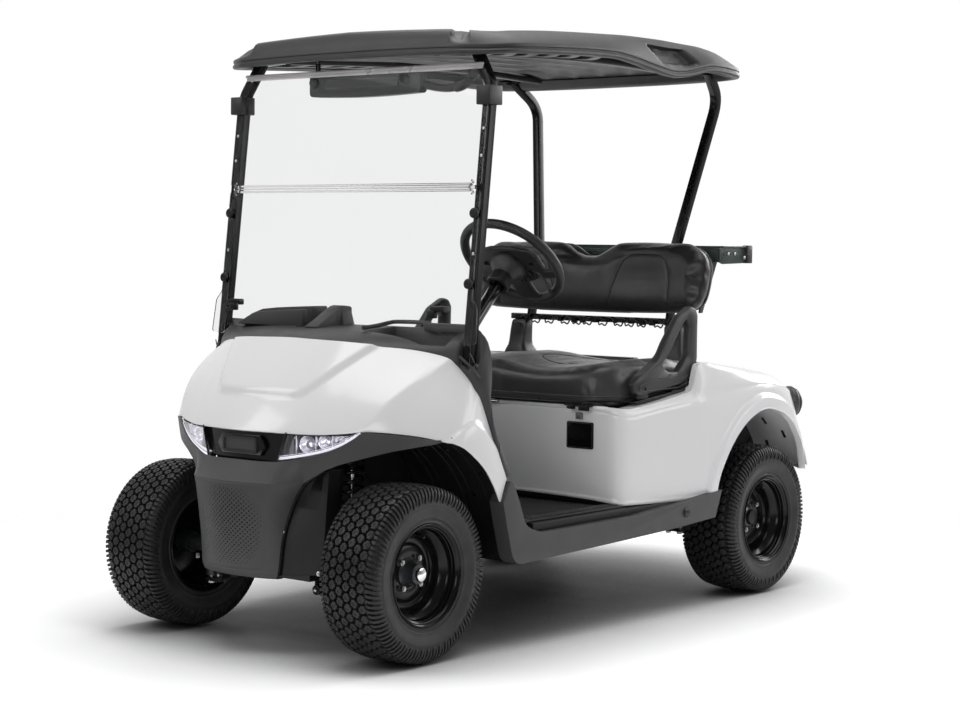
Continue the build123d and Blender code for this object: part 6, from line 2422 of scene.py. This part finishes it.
# ---------------------------------------------------------------- rear springs, axle, bumper
def leaf_springs():
    leaves = []
    for k, (y0, y1) in enumerate(((476, 1014), (540, 950), (600, 890), (650, 840))):
        steps = [y0 + (y1 - y0) * j / 22 for j in range(23)]
        leaves.append(sweep([(240, y, 203 + 128 * (abs(y - 745) / 272) ** 1.25 - k * 7.5)
                             for y in steps], box_section(48, 6.5, 2, 2)))
    eyes = []
    for y in (475, 1015):
        eyes += [lathe([(-27, 6), (-27, 14), (27, 14), (27, 6)], (240, y, 329), (1, 0, 0), 28),
                 rod((208, y, 329), (272, y, 329), 6, 6, 1)]
    ubolts = []
    for x, y in ((218, 704), (262, 704), (218, 786), (262, 786)):
        ubolts += [rod((x, y, 172), (x, y, 262), 5, 14, 1), rod((x, y, 168), (x, y, 176), 9, 6, 1)]
    plates = box(208, 272, 690, 800, 176, 182, 2, 2)
    shackle = join(box(266, 270, 1005, 1025, 325, 372, 1, 1),
                   box(210, 214, 1005, 1025, 325, 372, 1, 1))
    damper = join(lathe([(0, 10), (4, 20), (170, 20), (176, 16)], (290, 688, 222),
                        (0, -0.143, 0.99), 32), rod((290, 664, 390), (290, 641, 556), 8, 20, 1),
                  lathe([(0, 23), (120, 23), (122, 20)], (290, 663, 400), (0, -0.143, 0.99), 32))
    return on_both_sides((join(*leaves), chassis_steel), (join(*eyes), mat_rubber),
                         (join(*ubolts), zinc_steel), (plates, chassis_steel),
                         (shackle, chassis_steel), (damper, black_steel))


put("rear_leaf_springs", leaf_springs(), "chassis", "rear_springs", smooth=36)


def axle():
    half = [(4, 96), (4, 90), (70, 88), (84, 82), (96, 60), (140, 40), (150, 34), (424, 34)]
    housing = lathe([(-x, r) for x, r in reversed(half)] + half, (0, 745, 246), (1, 0, 0), 56)
    drum = [(418, 34), (424, 88), (428, 94), (436, 94), (438, 90), (466, 90), (470, 84), (470, 20),
            (492, 14), (493, 2)]
    drums = join(*[lathe(drum, (0, 745, 246), (side, 0, 0), 56) for side in (-1, 1)])
    spots = [(745 + 86 * math.cos(TURN * k / 10), 246 + 86 * math.sin(TURN * k / 10))
             for k in range(10)]
    studs = join(*[rod((-12, y, z), (12, y, z), 5.5, 6, 1.2) for y, z in spots])
    motor = lathe([(-130, 30), (-128, 70), (-120, 78), (-104, 79), (96, 79), (120, 78), (128, 66),
                   (130, 22)], (0, 615, 255), (1, 0, 0), 56)
    fins = join(*[ring((-92 + k * 14, 615, 255), (1, 0, 0), 79, 2.2, 48, 6) for k in range(14)])
    return [(housing, cast_metal), (drums, cast_metal), (studs, zinc_steel), (motor, cast_metal),
            (fins, cast_metal), (box(-60, 60, 660, 720, 200, 300, 12, 3), cast_metal)]


put("rear_axle_and_motor", axle(), "chassis", "rear_axle", smooth=36)


def rear_bumper():
    rows = []
    for k in range(61):
        x = -428 + 856 * k / 60
        bow = 1199 - 26 * (abs(x) / 428) ** 3
        front = 1174 - 22 * (abs(x) / 428) ** 4
        share = 0.6 + 0.4 * smooth_step((428 - abs(x)) / 14)
        low, high = 392 - 46 * share, 392 + 47 * share
        loop = rounded([(front, low), (bow, low + 4), (bow, high - 4), (front, high)],
                       [4, 16, 16, 4], 5)
        rows.append([(x, y, z) for y, z in loop])
    across = [-380 + 760 * k / 40 for k in range(41)]
    grooves = [sweep([(x, 1199.6 - 26 * (abs(x) / 428) ** 3, z) for x in across],
                     box_section(2.5, 5, 1, 2)) for z in (376, 392, 408)]
    arms = [box(x - 22, x + 22, 1112.5, 1178, 352, 398, 3, 2) for x in (-165, 165)]
    return [(capped(rows), black_plastic), (join(*grooves), trim_plastic),
            (join(*arms), chassis_steel)]


put("rear_bumper_beam", rear_bumper(), "chassis", "rear_bumper", smooth=36)

battery_bits = []
for x, y in [(-286 + i * 193, 34 + j * 158) for i in range(3) for j in range(2)]:
    battery_bits.append(box(x, x + 188, y, y + 154, 556, 566, 4, 2))
    battery_bits += [rod((x + cap, y + 77, 564), (x + cap, y + 77, 574), 15, 20, 2)
                     for cap in (40, 94, 148)]
put("battery_lids_and_caps", [(join(*battery_bits), battery_case)], "chassis",
    smooth=36)
